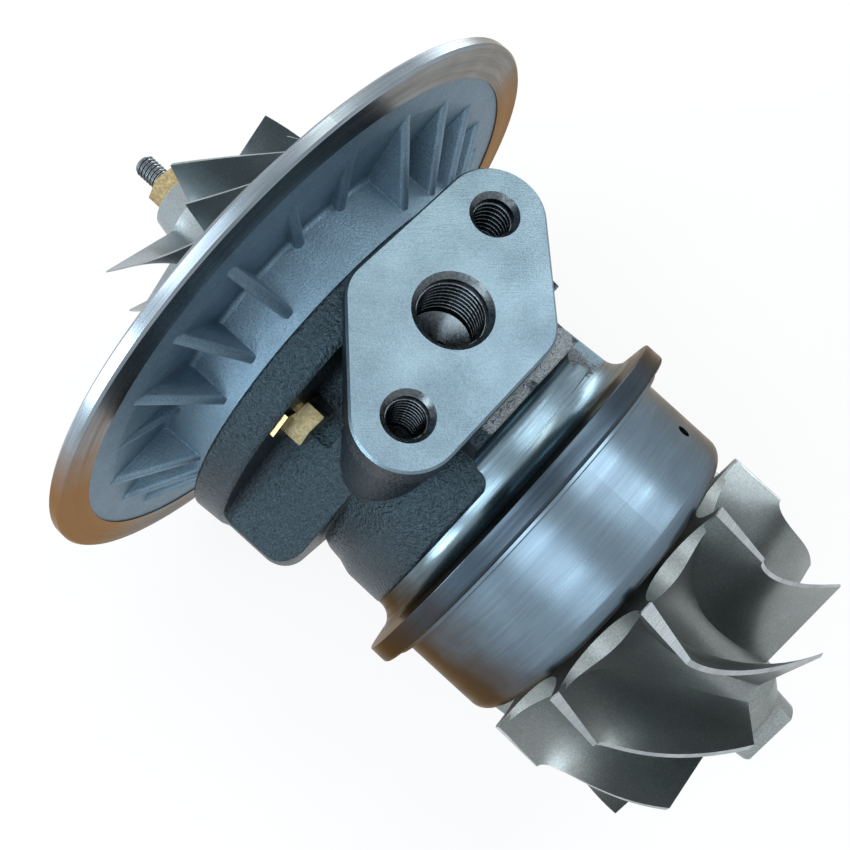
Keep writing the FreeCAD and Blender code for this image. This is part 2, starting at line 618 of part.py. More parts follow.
def compressor_backplate():
    """Cast disc with a turned rim, 24 ribs, a tapped boss and a centre bore."""
    corner_x = WEB_BACK_X - WEB_SLOPE
    groove_r = PILOT_R - 1.8 * COVER_RING_WIRE_R
    groove_half = COVER_RING_WIRE_R + GROOVE_SIDE_GAP
    groove_x = (DIFFUSER_WALL_X + RIM_FRONT_X) / 2
    shape = turned_solid([
        (RECESS_X, CENTRE_BORE_R), (RECESS_X, RECESS_R), (DIFFUSER_WALL_X, RECESS_R + 0.6),
        (DIFFUSER_WALL_X, PILOT_R - 0.5), (DIFFUSER_WALL_X + 0.5, PILOT_R),
        (groove_x - groove_half, PILOT_R), (groove_x - groove_half, groove_r),
        (groove_x + groove_half, groove_r), (groove_x + groove_half, PILOT_R),
        (RIM_FRONT_X, PILOT_R), (RIM_FRONT_X, RIM_R - RIM_CHAMFER),
        (RIM_FRONT_X + RIM_CHAMFER, RIM_R), (RIM_BACK_X - RIM_CHAMFER, RIM_R),
        (RIM_BACK_X, RIM_R - RIM_CHAMFER), (RIM_BACK_X, RIM_STEP_R),
        (WEB_BACK_X, RIM_STEP_R), (WEB_BACK_X, BAND_INNER_R, 1.5), (corner_x, BOSS_R + 0.4, 1.2),
        (FLANGE_FACE_X, BOSS_R, 0.6), (FLANGE_FACE_X, FACE_RING_R + FACE_RING_WIRE_R + GROOVE_SIDE_GAP),
        (FLANGE_FACE_X - FACE_GROOVE_DEPTH, FACE_RING_R + FACE_RING_WIRE_R + GROOVE_SIDE_GAP),
        (FLANGE_FACE_X - FACE_GROOVE_DEPTH, FACE_RING_R - FACE_RING_WIRE_R - GROOVE_SIDE_GAP),
        (FLANGE_FACE_X, FACE_RING_R - FACE_RING_WIRE_R - GROOVE_SIDE_GAP),
        (FLANGE_FACE_X, BOSS_WALL_INNER_R), (WEB_INSIDE_X, BOSS_WALL_INNER_R - 1.0, 2.0),
        (WEB_INSIDE_X, CENTRE_BORE_R)])
    ribs = []
    for index in range(RIB_COUNT):
        angle = RIB_FIRST_ANGLE + index * 360.0 / RIB_COUNT
        low = any(abs((angle - mark + 180) % 360 - 180) < 1.0 for mark in LOW_RIBS)
        ribs.append(turned(rib(LOW_RIB_TOP_X if low else RIB_TOP_X), angle))
    shape = shape.fuse(ribs)
    cutters = [cylinder_x(BOSS_WALL_INNER_R - 1.0, WEB_INSIDE_X + 2.5, FLANGE_FACE_X + 1)]
    for y, z, _ in bolt_places():
        cutters.append(drilled(TAPPED_R, TAPPED_DEPTH, Vector(FLANGE_FACE_X, y, z), 0.3, -X_AXIS))
    dowel = at_angle(BOLT_CIRCLE_R, DOWEL_ANGLE)
    cutters.append(cylinder_x(DOWEL_R + BORE_GAP, FLANGE_FACE_X - DOWEL_LENGTH / 2,
                              FLANGE_FACE_X + 1, dowel.y, dowel.z))
    return shape.cut(cutters).removeSplitter()


def backplate_bolts():
    """Hexagon bolts through the housing flange into the backplate's boss."""
    seat = FLANGE_BACK_X + WASHER_THICK
    bolts = []
    for y, z, _ in bolt_places():
        head = hexagon_x(BOLT_HEAD_FLATS, seat, seat + BOLT_HEAD_HEIGHT, y, z)
        dome = Part.makeSphere(BOLT_HEAD_FLATS * 0.78, Vector(seat, y, z))
        shank = cylinder_x(BOLT_R, seat - BOLT_LENGTH, seat, y, z)
        bolts.append(head.common(dome).fuse(shank))
    return Part.makeCompound(bolts)


def lock_washers():
    """Tab washers under the bolt heads, each with a tongue that lies outwards on the flange."""
    washers = []
    for y, z, angle in bolt_places():
        disc = cylinder_x(WASHER_R, FLANGE_BACK_X, FLANGE_BACK_X + WASHER_THICK, y, z)
        tongue = turned(Part.makeBox(WASHER_THICK, WASHER_R, WASHER_R + WASHER_TONGUE,
                                     Vector(FLANGE_BACK_X, -WASHER_R / 2, BOLT_CIRCLE_R)), angle)
        hole = cylinder_x(BOLT_HOLE_R - 0.2, FLANGE_BACK_X - 1, FLANGE_BACK_X + 2, y, z)
        washers.append(disc.fuse(tongue).cut(hole).removeSplitter())
    return Part.makeCompound(washers)


def backplate_dowel():
    """Pin that sets the backplate's angle on the housing."""
    point = at_angle(BOLT_CIRCLE_R, DOWEL_ANGLE)
    half = DOWEL_LENGTH / 2 - 0.2
    return cylinder_x(DOWEL_R, FLANGE_FACE_X - half, FLANGE_FACE_X + half, point.y, point.z)


def cover_o_ring():
    """O-ring on the backplate's pilot."""
    return o_ring(PILOT_R - 0.75 * COVER_RING_WIRE_R, COVER_RING_WIRE_R,
                  (DIFFUSER_WALL_X + RIM_FRONT_X) / 2)


def backplate_o_ring():
    """Face O-ring pressed flat between backplate and housing."""
    ring = o_ring(FACE_RING_R, FACE_RING_WIRE_R, FLANGE_FACE_X - FACE_RING_WIRE_R + 0.3)
    return ring.common(ring_x(FACE_RING_R + 3, FACE_RING_R - 3,
                              FLANGE_FACE_X - FACE_GROOVE_DEPTH, FLANGE_FACE_X))


def oil_seal_plate():
    """Bell-shaped plate with the compressor side seal bore."""
    flange_front = SEAL_PLATE_SEAT_X - SEAL_PLATE_THICK
    ring_mid = (RECESS_X + WEB_INSIDE_X) / 2
    half = PLATE_RING_WIRE_R + GROOVE_SIDE_GAP
    groove_r = SEAL_NOSE_R - 2.0 * PLATE_RING_WIRE_R
    return turned_solid([
        (RECESS_X + 0.6, SEAL_BORE_R), (RECESS_X + 0.6, SEAL_NOSE_R, 0.5),
        (ring_mid - half, SEAL_NOSE_R), (ring_mid - half, groove_r), (ring_mid + half, groove_r),
        (ring_mid + half, SEAL_NOSE_R), (SEAL_CONE_X, SEAL_NOSE_R, 3.0), (flange_front, 27.0, 1.5),
        (flange_front, SEAL_PLATE_R, 0.4), (SEAL_PLATE_SEAT_X, SEAL_PLATE_R, 0.4),
        (SEAL_PLATE_SEAT_X, 20.0), (SEAL_POCKET_X, 20.0, 2.0),
        (SEAL_CONE_X, FLINGER_R + 1.2, 1.0), (SEAL_CONE_X, SEAL_BORE_R)])


def seal_plate_o_ring():
    """O-ring on the nose of the oil seal plate."""
    return o_ring(CENTRE_BORE_R - BORE_GAP - PLATE_RING_WIRE_R, PLATE_RING_WIRE_R,
                  (RECESS_X + WEB_INSIDE_X) / 2)


def seal_plate_retaining_ring():
    """Internal spring ring in front of the oil seal plate."""
    outer = SEAL_PLATE_R + RETAINER_GROOVE_DEPTH
    return split_ring(outer, outer - RETAINER_WIDTH, RETAINER_X, RETAINER_X + RETAINER_THICK,
                      RETAINER_GAP, 0.0)


def thrust_bearing():
    """Bronze plate with pads on both faces, pin holes and a drain notch."""
    start = THRUST_PLATE_X
    end = start + THRUST_PLATE_THICK
    plate = ring_x(THRUST_PLATE_R, THRUST_NECK_R + 0.12, start, end)
    cutters = []
    for index in range(THRUST_PADS):
        for face in (start - PAD_GROOVE_DEPTH, end - PAD_GROOVE_DEPTH):
            groove = Part.makeBox(2 * PAD_GROOVE_DEPTH, PAD_GROOVE_WIDTH, PAD_GROOVE_LENGTH,
                                  Vector(face, -PAD_GROOVE_WIDTH / 2, THRUST_NECK_R - 1.0))
            cutters.append(turned(groove, index * 360.0 / THRUST_PADS))
    for angle in THRUST_PIN_ANGLES:
        point = at_angle(THRUST_PIN_CIRCLE_R, angle)
        cutters.append(cylinder_x(THRUST_PIN_R + BORE_GAP, start - 1, end + 1, point.y, point.z))
    cutters.append(cylinder_x(DRAIN_PASSAGE_R, start - 1, end + 1, 0, -THRUST_PLATE_R))
    return plate.cut(cutters)


def thrust_bearing_pins():
    """Pins that stop the thrust plate from turning."""
    pins = []
    for angle in THRUST_PIN_ANGLES:
        point = at_angle(THRUST_PIN_CIRCLE_R, angle)
        pins.append(cylinder_x(THRUST_PIN_R, THRUST_PLATE_X + 0.5, THRUST_POCKET_END_X + 2.8,
                               point.y, point.z))
    return Part.makeCompound(pins)


def oil_deflector():
    """Sheet baffle between the seal plate and the thrust plate, with a drain notch."""
    ring = ring_x(THRUST_PLATE_R, THRUST_FACE_R + 0.7, SEAL_PLATE_SEAT_X, THRUST_PLATE_X)
    notch = Part.makeBox(4.0, 12.0, 8.0, Vector(SEAL_PLATE_SEAT_X - 1, -6.0, -THRUST_PLATE_R - 1))
    return ring.cut(notch)


def bearing_snap_rings():
    """Four spring rings in the housing bore that keep the journal bearings in place."""
    rings = []
    outer = HOUSING_BORE_R + SNAP_RING_DEPTH - 0.05
    for start in snap_ring_stations():
        rings.append(split_ring(outer, outer - SNAP_RING_WIDTH, start, start + SNAP_RING_THICK,
                                SNAP_RING_GAP, 180.0))
    return Part.makeCompound(rings)


def journal_bearing(start):
    """Full-floating bronze bush with six oil holes and a groove round them."""
    bush = turned_solid([
        (start, JOURNAL_R + RUNNING_GAP, BEARING_ROUND), (start, BEARING_OUTER_R, BEARING_ROUND),
        (start + BEARING_LENGTH, BEARING_OUTER_R, BEARING_ROUND),
        (start + BEARING_LENGTH, JOURNAL_R + RUNNING_GAP, BEARING_ROUND)])
    middle = start + BEARING_LENGTH / 2
    cutters = [ring_x(BEARING_OUTER_R + 1, BEARING_OUTER_R - BEARING_GROOVE_DEPTH,
                      middle - BEARING_GROOVE_HALF, middle + BEARING_GROOVE_HALF)]
    for index in range(BEARING_OIL_HOLES):
        hole = Part.makeCylinder(BEARING_OIL_HOLE_R, BEARING_OUTER_R + 1, Vector(middle, 0, 0),
                                 Vector(0, 0, 1))
        cutters.append(turned(hole, index * 360.0 / BEARING_OIL_HOLES))
    return bush.cut(cutters)


def seal_ring(bore_r, start, angle):
    """Piston ring in a seal ring groove."""
    outer = bore_r - 0.01
    return split_ring(outer, outer - RING_RADIAL, start, start + RING_WIDTH, 0.3, angle)


def heat_shield():
    """Turned cup round the turbine end of the housing, with a clamping flange."""
    inner = SHIELD_R - SHIELD_WALL
    flange_x = VBAND_FACE_X + SHIELD_FLANGE_THICK
    cup = turned_solid([
        (VBAND_FACE_X, inner), (VBAND_FACE_X, SHIELD_FLANGE_R, 0.3), (flange_x, SHIELD_FLANGE_R, 0.3),
        (flange_x, SHIELD_R), (SHIELD_END_X, SHIELD_R - 0.3, SHIELD_ROUND),
        (SHIELD_END_X, SHIELD_HOLE_R, 0.4), (SHIELD_END_X - SHIELD_WALL, SHIELD_HOLE_R, 0.4),
        (SHIELD_END_X - SHIELD_WALL, inner, SHIELD_ROUND - SHIELD_WALL)])
    vent = Part.makeCylinder(SHIELD_VENT_R, 10.0, Vector(SHIELD_VENT_X, 0, SHIELD_R - 6.0), Vector(0, 0, 1))
    return cup.cut(turned(vent, SHIELD_VENT_ANGLE))


def shaft():
    """Stepped shaft: turbine seal boss, two journals, waist, stub and thread."""
    shoulder = THRUST_POCKET_END_X + END_PLAY + COLLAR_FLANGE_THICK
    thread_start = COMP_NOSE_X + THREAD_INSIDE_WHEEL
    nut_end = COMP_NOSE_X - NUT_HEIGHT
    groove_r = TURB_SEAL_BORE_R - RING_RADIAL - 0.4
    groove_end = TURB_RING_X + RING_WIDTH + RING_SIDE_GAP
    boss_x = TURB_SEAL_BORE_X + 1.0
    waist = (COMP_BEARING_X + BEARING_LENGTH + 2.0, TURB_BEARING_X - 2.0)
    return turned_solid([
        (SHAFT_END_X, 0), (SHAFT_END_X, THREAD_CORE_R - 0.4), (SHAFT_END_X + 0.4, THREAD_CORE_R),
        (nut_end - 0.4, THREAD_CORE_R), (nut_end, THREAD_R), (thread_start, THREAD_R),
        (thread_start + 0.6, STUB_R), (shoulder, STUB_R),
        (shoulder, JOURNAL_R, 0.3), (waist[0], JOURNAL_R), (waist[0] + 1.0, WAIST_R),
        (waist[1] - 1.0, WAIST_R), (waist[1], JOURNAL_R), (boss_x - 2.0, JOURNAL_R, 1.5),
        (boss_x, TURB_BOSS_R, 0.3), (TURB_RING_X - RING_SIDE_GAP, TURB_BOSS_R),
        (TURB_RING_X - RING_SIDE_GAP, groove_r), (groove_end, groove_r),
        (groove_end, TURB_BOSS_R), (WELD_X, TURB_BOSS_R), (WELD_X, 0)])


def thrust_collar():
    """Steel collar whose flange runs on the turbine side of the thrust plate."""
    face = THRUST_POCKET_END_X + END_PLAY
    neck_end = THRUST_PLATE_X - END_PLAY
    return turned_solid([
        (neck_end, STUB_R + BORE_GAP), (neck_end, THRUST_NECK_R), (face, THRUST_NECK_R),
        (face, THRUST_FACE_R, 0.2), (face + COLLAR_FLANGE_THICK, THRUST_FACE_R, 0.4),
        (face + COLLAR_FLANGE_THICK, STUB_R + BORE_GAP)])


def flinger_sleeve():
    """Sleeve between thrust collar and compressor wheel, with the flinger and a ring groove."""
    end = THRUST_PLATE_X - END_PLAY
    groove_r = SEAL_BORE_R - RING_RADIAL - 0.4
    return turned_solid([
        (COMP_HUB_BACK_X, STUB_R + BORE_GAP), (COMP_HUB_BACK_X, SLEEVE_R, 0.3),
        (COMP_RING_X - RING_SIDE_GAP, SLEEVE_R), (COMP_RING_X - RING_SIDE_GAP, groove_r),
        (COMP_RING_X + RING_WIDTH + RING_SIDE_GAP, groove_r),
        (COMP_RING_X + RING_WIDTH + RING_SIDE_GAP, SLEEVE_R), (FLINGER_X - 0.6, SLEEVE_R),
        (FLINGER_X, FLINGER_R, 0.2), (FLINGER_X + FLINGER_THICK, FLINGER_R, 0.2),
        (FLINGER_X + FLINGER_THICK + 0.8, SLEEVE_R, 0.5),
        (end - 2.0, SLEEVE_R, 0.5), (end - 2.0, THRUST_FACE_R, 0.3), (end, THRUST_FACE_R, 0.2),
        (end, STUB_R + BORE_GAP)])


def shaft_nut():
    """Hexagon nut with a collar, on the compressor end of the shaft."""
    start = COMP_NOSE_X - NUT_HEIGHT
    hexagon = hexagon_x(NUT_FLATS, start, COMP_NOSE_X - 0.5)
    dome = Part.makeSphere(NUT_FLATS * 0.72, Vector(COMP_NOSE_X - 1.6, 0, 0))
    collar = turned_solid([(COMP_NOSE_X - NUT_COLLAR_THICK, 0),
                           (COMP_NOSE_X - NUT_COLLAR_THICK, NUT_COLLAR_R, 0.5),
                           (COMP_NOSE_X, NUT_COLLAR_R, 0.3), (COMP_NOSE_X, 0)])
    bore = cylinder_x(THREAD_R + BORE_GAP, start - 1, COMP_NOSE_X + 1)
    return hexagon.common(dome).fuse(collar).cut(bore).removeSplitter()


def ruled_face(first, second):
    """A face ruled between two curves that share their knots."""
    surface = Part.BSplineSurface()
    surface.buildFromPolesMultsKnots(
        [first.getPoles(), second.getPoles()], (2, 2), first.getMultiplicities(), (0.0, 1.0),
        first.getKnots(), False, False, 1, first.Degree)
    return surface.toShape()


def side_curve(line, thickness, sign):
    """One edge of a blade: its line of (station, radius, angle) moved sideways by half its thickness."""
    points = []
    for station, radius, angle in line:
        lean = math.degrees(sign * thickness / 2 / radius)
        points.append(at_angle(radius, angle + lean, station))
    curve = Part.BSplineCurve()
    last = len(line) - 1.0
    curve.interpolate(Points=points, Parameters=[index / last for index in range(len(line))])
    return curve


def straight(start, end):
    """A straight curve of one span between two points."""
    curve = Part.BSplineCurve()
    curve.buildFromPolesMultsKnots([start, end], (2, 2), (0.0, 1.0), False, 1)
    return curve


def blade(root, tip, root_thick, tip_thick):
    """A ruled blade. Root and tip are lists of (station, radius, angle) along the flow."""
    root_low, root_high = (side_curve(root, root_thick, sign) for sign in (-1, 1))
    tip_low, tip_high = (side_curve(tip, tip_thick, sign) for sign in (-1, 1))
    faces = [ruled_face(root_low, tip_low), ruled_face(root_high, tip_high),
             ruled_face(root_low, root_high), ruled_face(tip_low, tip_high)]
    for name in ("StartPoint", "EndPoint"):
        faces.append(ruled_face(straight(getattr(root_low, name), getattr(root_high, name)),
                                straight(getattr(tip_low, name), getattr(tip_high, name))))
    shell = Part.makeShell(faces)
    shell.sewShape(1e-4)
    solid = Part.makeSolid(shell)
    if solid.Volume < 0:
        solid.reverse()
    return solid


def quarter(index, start=0.0):
    """An angle from 0 to a right angle, spread over the points of one blade curve."""
    share = start + (1.0 - start) * index / (CURVE_POINTS - 1.0)
    return share * math.pi / 2


def turbine_angle(station):
    """Blade angle at a station: a slight inlet skew, then the exducer's bend."""
    inlet = min(1.0, (station - TURB_BACK_X) / (TURB_INLET_FRONT_X - TURB_BACK_X))
    bend = max(0.0, (station - TURB_INLET_FRONT_X) / (TURB_EXIT_X - TURB_INLET_FRONT_X))
    return TURB_FIRST_ANGLE + TURB_INLET_SKEW * inlet + TURB_EXIT_WRAP * bend ** TURB_WRAP_POWER


def turbine_blade():
    """One turbine blade, full from the disc to the exducer."""
    root, tip = [], []
    for index in range(CURVE_POINTS):
        turn = quarter(index)
        station = TURB_ROOT_X - (TURB_ROOT_X - TURB_BACK_X - 0.2) * math.cos(turn)
        radius = TURB_R - (TURB_R - TURB_ROOT_R + ROOT_SINK) * math.sin(turn)
        root.append((station, radius, turbine_angle(station)))
        station = TURB_EXIT_X - (TURB_EXIT_X - TURB_INLET_FRONT_X) * math.cos(turn)
        radius = TURB_R - (TURB_R - TURB_EXIT_R) * math.sin(turn)
        tip.append((station, radius, turbine_angle(station)))
    return blade(root, tip, TURB_ROOT_THICK, TURB_TIP_THICK)


def hub_solid(curve_points, corners):
    """A hub turned about the axis from one smooth curve and the straight lines that close it."""
    points = [Vector(station, 0, radius) for station, radius in curve_points]
    curve = Part.BSplineCurve()
    curve.interpolate(Points=points)
    rest = [points[-1]] + [Vector(x, 0, r) for x, r in corners] + [points[0]]
    edges = [curve.toShape()]
    for first, second in zip(rest, rest[1:]):
        edges.append(Part.LineSegment(first, second).toShape())
    return Part.Face(Part.Wire(edges)).revolve(ORIGIN, X_AXIS, 360)


def turbine_wheel():
    """Cast wheel: scalloped disc, hub, nose with its balance cut, and ten blades."""
    curve = []
    disc_r = TURB_R - 0.3
    for index in range(CURVE_POINTS):
        turn = quarter(index)
        curve.append((TURB_ROOT_X - (TURB_ROOT_X - TURB_BACK_X - TURB_DISC_EDGE) * math.cos(turn),
                      disc_r - (disc_r - TURB_ROOT_R) * math.sin(turn)))
    hub = hub_solid(curve, [
        (TURB_ROOT_X + 3.0, TURB_ROOT_R - 0.4), (TURB_ROOT_X + 7.0, TURB_NOSE_R + 0.6),
        (TURB_NOSE_X, TURB_NOSE_R), (TURB_NOSE_X, 0), (WELD_X, 0), (WELD_X, TURB_BACK_BOSS_R),
        (TURB_BACK_X, TURB_BACK_BOSS_R + 0.8), (TURB_BACK_X, disc_r)])
    pitch = 360.0 / TURB_BLADES
    scallops = []
    for index in range(TURB_BLADES):
        centre = at_angle(TURB_R + 0.4, TURB_FIRST_ANGLE + (index + 0.5) * pitch)
        scallops.append(cylinder_x(TURB_SCALLOP_R, TURB_BACK_X - 1, TURB_INLET_FRONT_X, centre.y, centre.z))
    hub = hub.cut(scallops)
    first = turbine_blade()
    wheel = hub.fuse([turned(first, index * pitch) for index in range(TURB_BLADES)])
    notch = Part.makeBox(6.0, 2 * TURB_NOSE_R, TURB_NOSE_R,
                         Vector(TURB_NOSE_X - 4.0, -TURB_NOSE_R, TURB_NOSE_R * 0.62))
    return wheel.cut(turned(notch, -30.0))


def compressor_line(start, hub_r, rim_x, wrap):
    """Stations, radii and angles of a compressor blade's root or tip, eye to rim."""
    line = []
    for index in range(CURVE_POINTS):
        turn = quarter(index, start)
        station = COMP_EYE_X + (rim_x - COMP_EYE_X) * math.sin(turn)
        radius = COMP_R - 0.1 - (COMP_R - 0.1 - hub_r) * math.cos(turn)
        line.append((station, radius, COMP_FIRST_ANGLE + wrap(turn)))
    return line


def compressor_blade(start):
    """One compressor blade from a share of the flow path (0 at the eye) to the rim."""
    total = COMP_TIP_WRAP + COMP_BACKSWEEP

    def tip_wrap(turn):
        return COMP_TIP_WRAP * math.sin(turn) + COMP_BACKSWEEP * (turn / (math.pi / 2)) ** 3

    def root_wrap(turn):
        return total * (turn / (math.pi / 2)) ** 1.2

    root = compressor_line(start, COMP_HUB_EYE_R - ROOT_SINK,
                           COMP_RIM_FRONT_X + COMP_DISC_EDGE / 2, root_wrap)
    tip = compressor_line(start, COMP_EYE_R, COMP_RIM_FRONT_X - COMP_EXIT_WIDTH, tip_wrap)
    return blade(root, tip, COMP_ROOT_THICK, COMP_TIP_THICK)


def compressor_wheel():
    """Cast wheel with six full blades and six splitters."""
    curve = []
    for index in range(CURVE_POINTS):
        turn = quarter(index)
        curve.append((COMP_EYE_X + (COMP_RIM_FRONT_X - COMP_EYE_X) * math.sin(turn),
                      COMP_R - (COMP_R - COMP_HUB_EYE_R) * math.cos(turn)))
    bore = STUB_R + BORE_GAP
    hub = hub_solid(curve, [
        (COMP_BACK_X, COMP_R), (COMP_BACK_X, 13.0), (COMP_HUB_BACK_X, 11.0),
        (COMP_HUB_BACK_X, bore), (COMP_NOSE_X, bore), (COMP_NOSE_X, COMP_NOSE_R)])
    pitch = 360.0 / COMP_BLADES
    full = compressor_blade(0.0)
    splitter = compressor_blade(COMP_SPLITTER_START)
    blades = [turned(full, index * pitch) for index in range(COMP_BLADES)]
    blades += [turned(splitter, (index + 0.5) * pitch) for index in range(COMP_BLADES)]
    return hub.fuse(blades)


def main():
    """Builds every piece and writes one STEP file for each."""
    pieces = {
        "bearing_housing": bearing_housing(),
        "gallery_plug": gallery_plug(),
        "compressor_backplate": compressor_backplate(),
        "backplate_bolts": backplate_bolts(),
        "lock_washers": lock_washers(),
        "backplate_dowel": backplate_dowel(),
        "cover_o_ring": cover_o_ring(),
        "backplate_o_ring": backplate_o_ring(),
        "oil_seal_plate": oil_seal_plate(),
        "seal_plate_o_ring": seal_plate_o_ring(),
        "seal_plate_retaining_ring": seal_plate_retaining_ring(),
        "thrust_bearing": thrust_bearing(),
        "thrust_bearing_pins": thrust_bearing_pins(),
        "oil_deflector": oil_deflector(),
        "bearing_snap_rings": bearing_snap_rings(),
        "compressor_seal_ring": seal_ring(SEAL_BORE_R, COMP_RING_X, 90.0),
        "turbine_seal_ring": seal_ring(TURB_SEAL_BORE_R, TURB_RING_X, 90.0),
        "heat_shield": heat_shield(),
        "compressor_journal_bearing": journal_bearing(COMP_BEARING_X),
        "turbine_journal_bearing": journal_bearing(TURB_BEARING_X),
        "shaft": shaft(),
        "turbine_wheel": turbine_wheel(),
        "compressor_wheel": compressor_wheel(),
        "thrust_collar": thrust_collar(),
        "flinger_sleeve": flinger_sleeve(),
        "shaft_nut": shaft_nut(),
    }
    os.makedirs("parts", exist_ok=True)
    for name, shape in pieces.items():
        shape.exportStep("parts/" + name + ".step")
        print(name, shape.ShapeType, "solids", len(shape.Solids), "valid", shape.isValid(),
              "volume", round(shape.Volume, 1))


main()
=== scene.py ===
"""Looks of a turbo cartridge: a finish for every solid, its thread turns, and a plain studio round it.

Sizes are in millimetres and colours are written as a screen shows them, from 0 to 255.
X is the rotor axis, from the compressor to the turbine, and Z points to the oil inlet pad.
"""

import logging
import math
from collections.abc import Callable
from dataclasses import dataclass
from enum import Enum

import bpy
from mathutils import Matrix, Vector


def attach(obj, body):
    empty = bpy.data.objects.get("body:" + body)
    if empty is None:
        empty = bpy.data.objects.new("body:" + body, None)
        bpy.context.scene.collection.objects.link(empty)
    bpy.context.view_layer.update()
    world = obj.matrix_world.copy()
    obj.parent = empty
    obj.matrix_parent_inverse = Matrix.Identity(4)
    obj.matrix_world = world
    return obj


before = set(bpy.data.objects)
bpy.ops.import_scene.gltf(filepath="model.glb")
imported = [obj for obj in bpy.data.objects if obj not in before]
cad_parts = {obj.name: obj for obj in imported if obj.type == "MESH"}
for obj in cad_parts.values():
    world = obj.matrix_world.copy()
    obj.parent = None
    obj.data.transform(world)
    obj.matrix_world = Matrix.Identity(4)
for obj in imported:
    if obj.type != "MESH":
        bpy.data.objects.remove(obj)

LOG = logging.getLogger("turbo_cartridge")
MM = 0.001

Colour = tuple[float, float, float, float]
Socket = bpy.types.NodeSocket


def seen(red: int, green: int, blue: int) -> Colour:
    """Turns a colour as a screen shows it into the linear one that a shader takes.

    Args:
        red: Red from 0 to 255.
        green: Green from 0 to 255.
        blue: Blue from 0 to 255.

    Returns:
        The linear colour with a full alpha.
    """
    linear = [((part / 255 + 0.055) / 1.055) ** 2.4 if part > 10 else part / 255 / 12.92
              for part in (red, green, blue)]
    return (linear[0], linear[1], linear[2], 1.0)


class Along(Enum):
    """The directions in which a bar or a hole can lie."""

    ROTOR = "x"
    UPRIGHT = "z"


class Zone(Enum):
    """The kinds of surface that one solid can show."""

    CAST = "cast"
    GROUND = "ground"
    TURNED = "turned"
    FLANGE = "flange"
    BORE = "bore"
    THREAD = "thread"
    RIM = "rim"


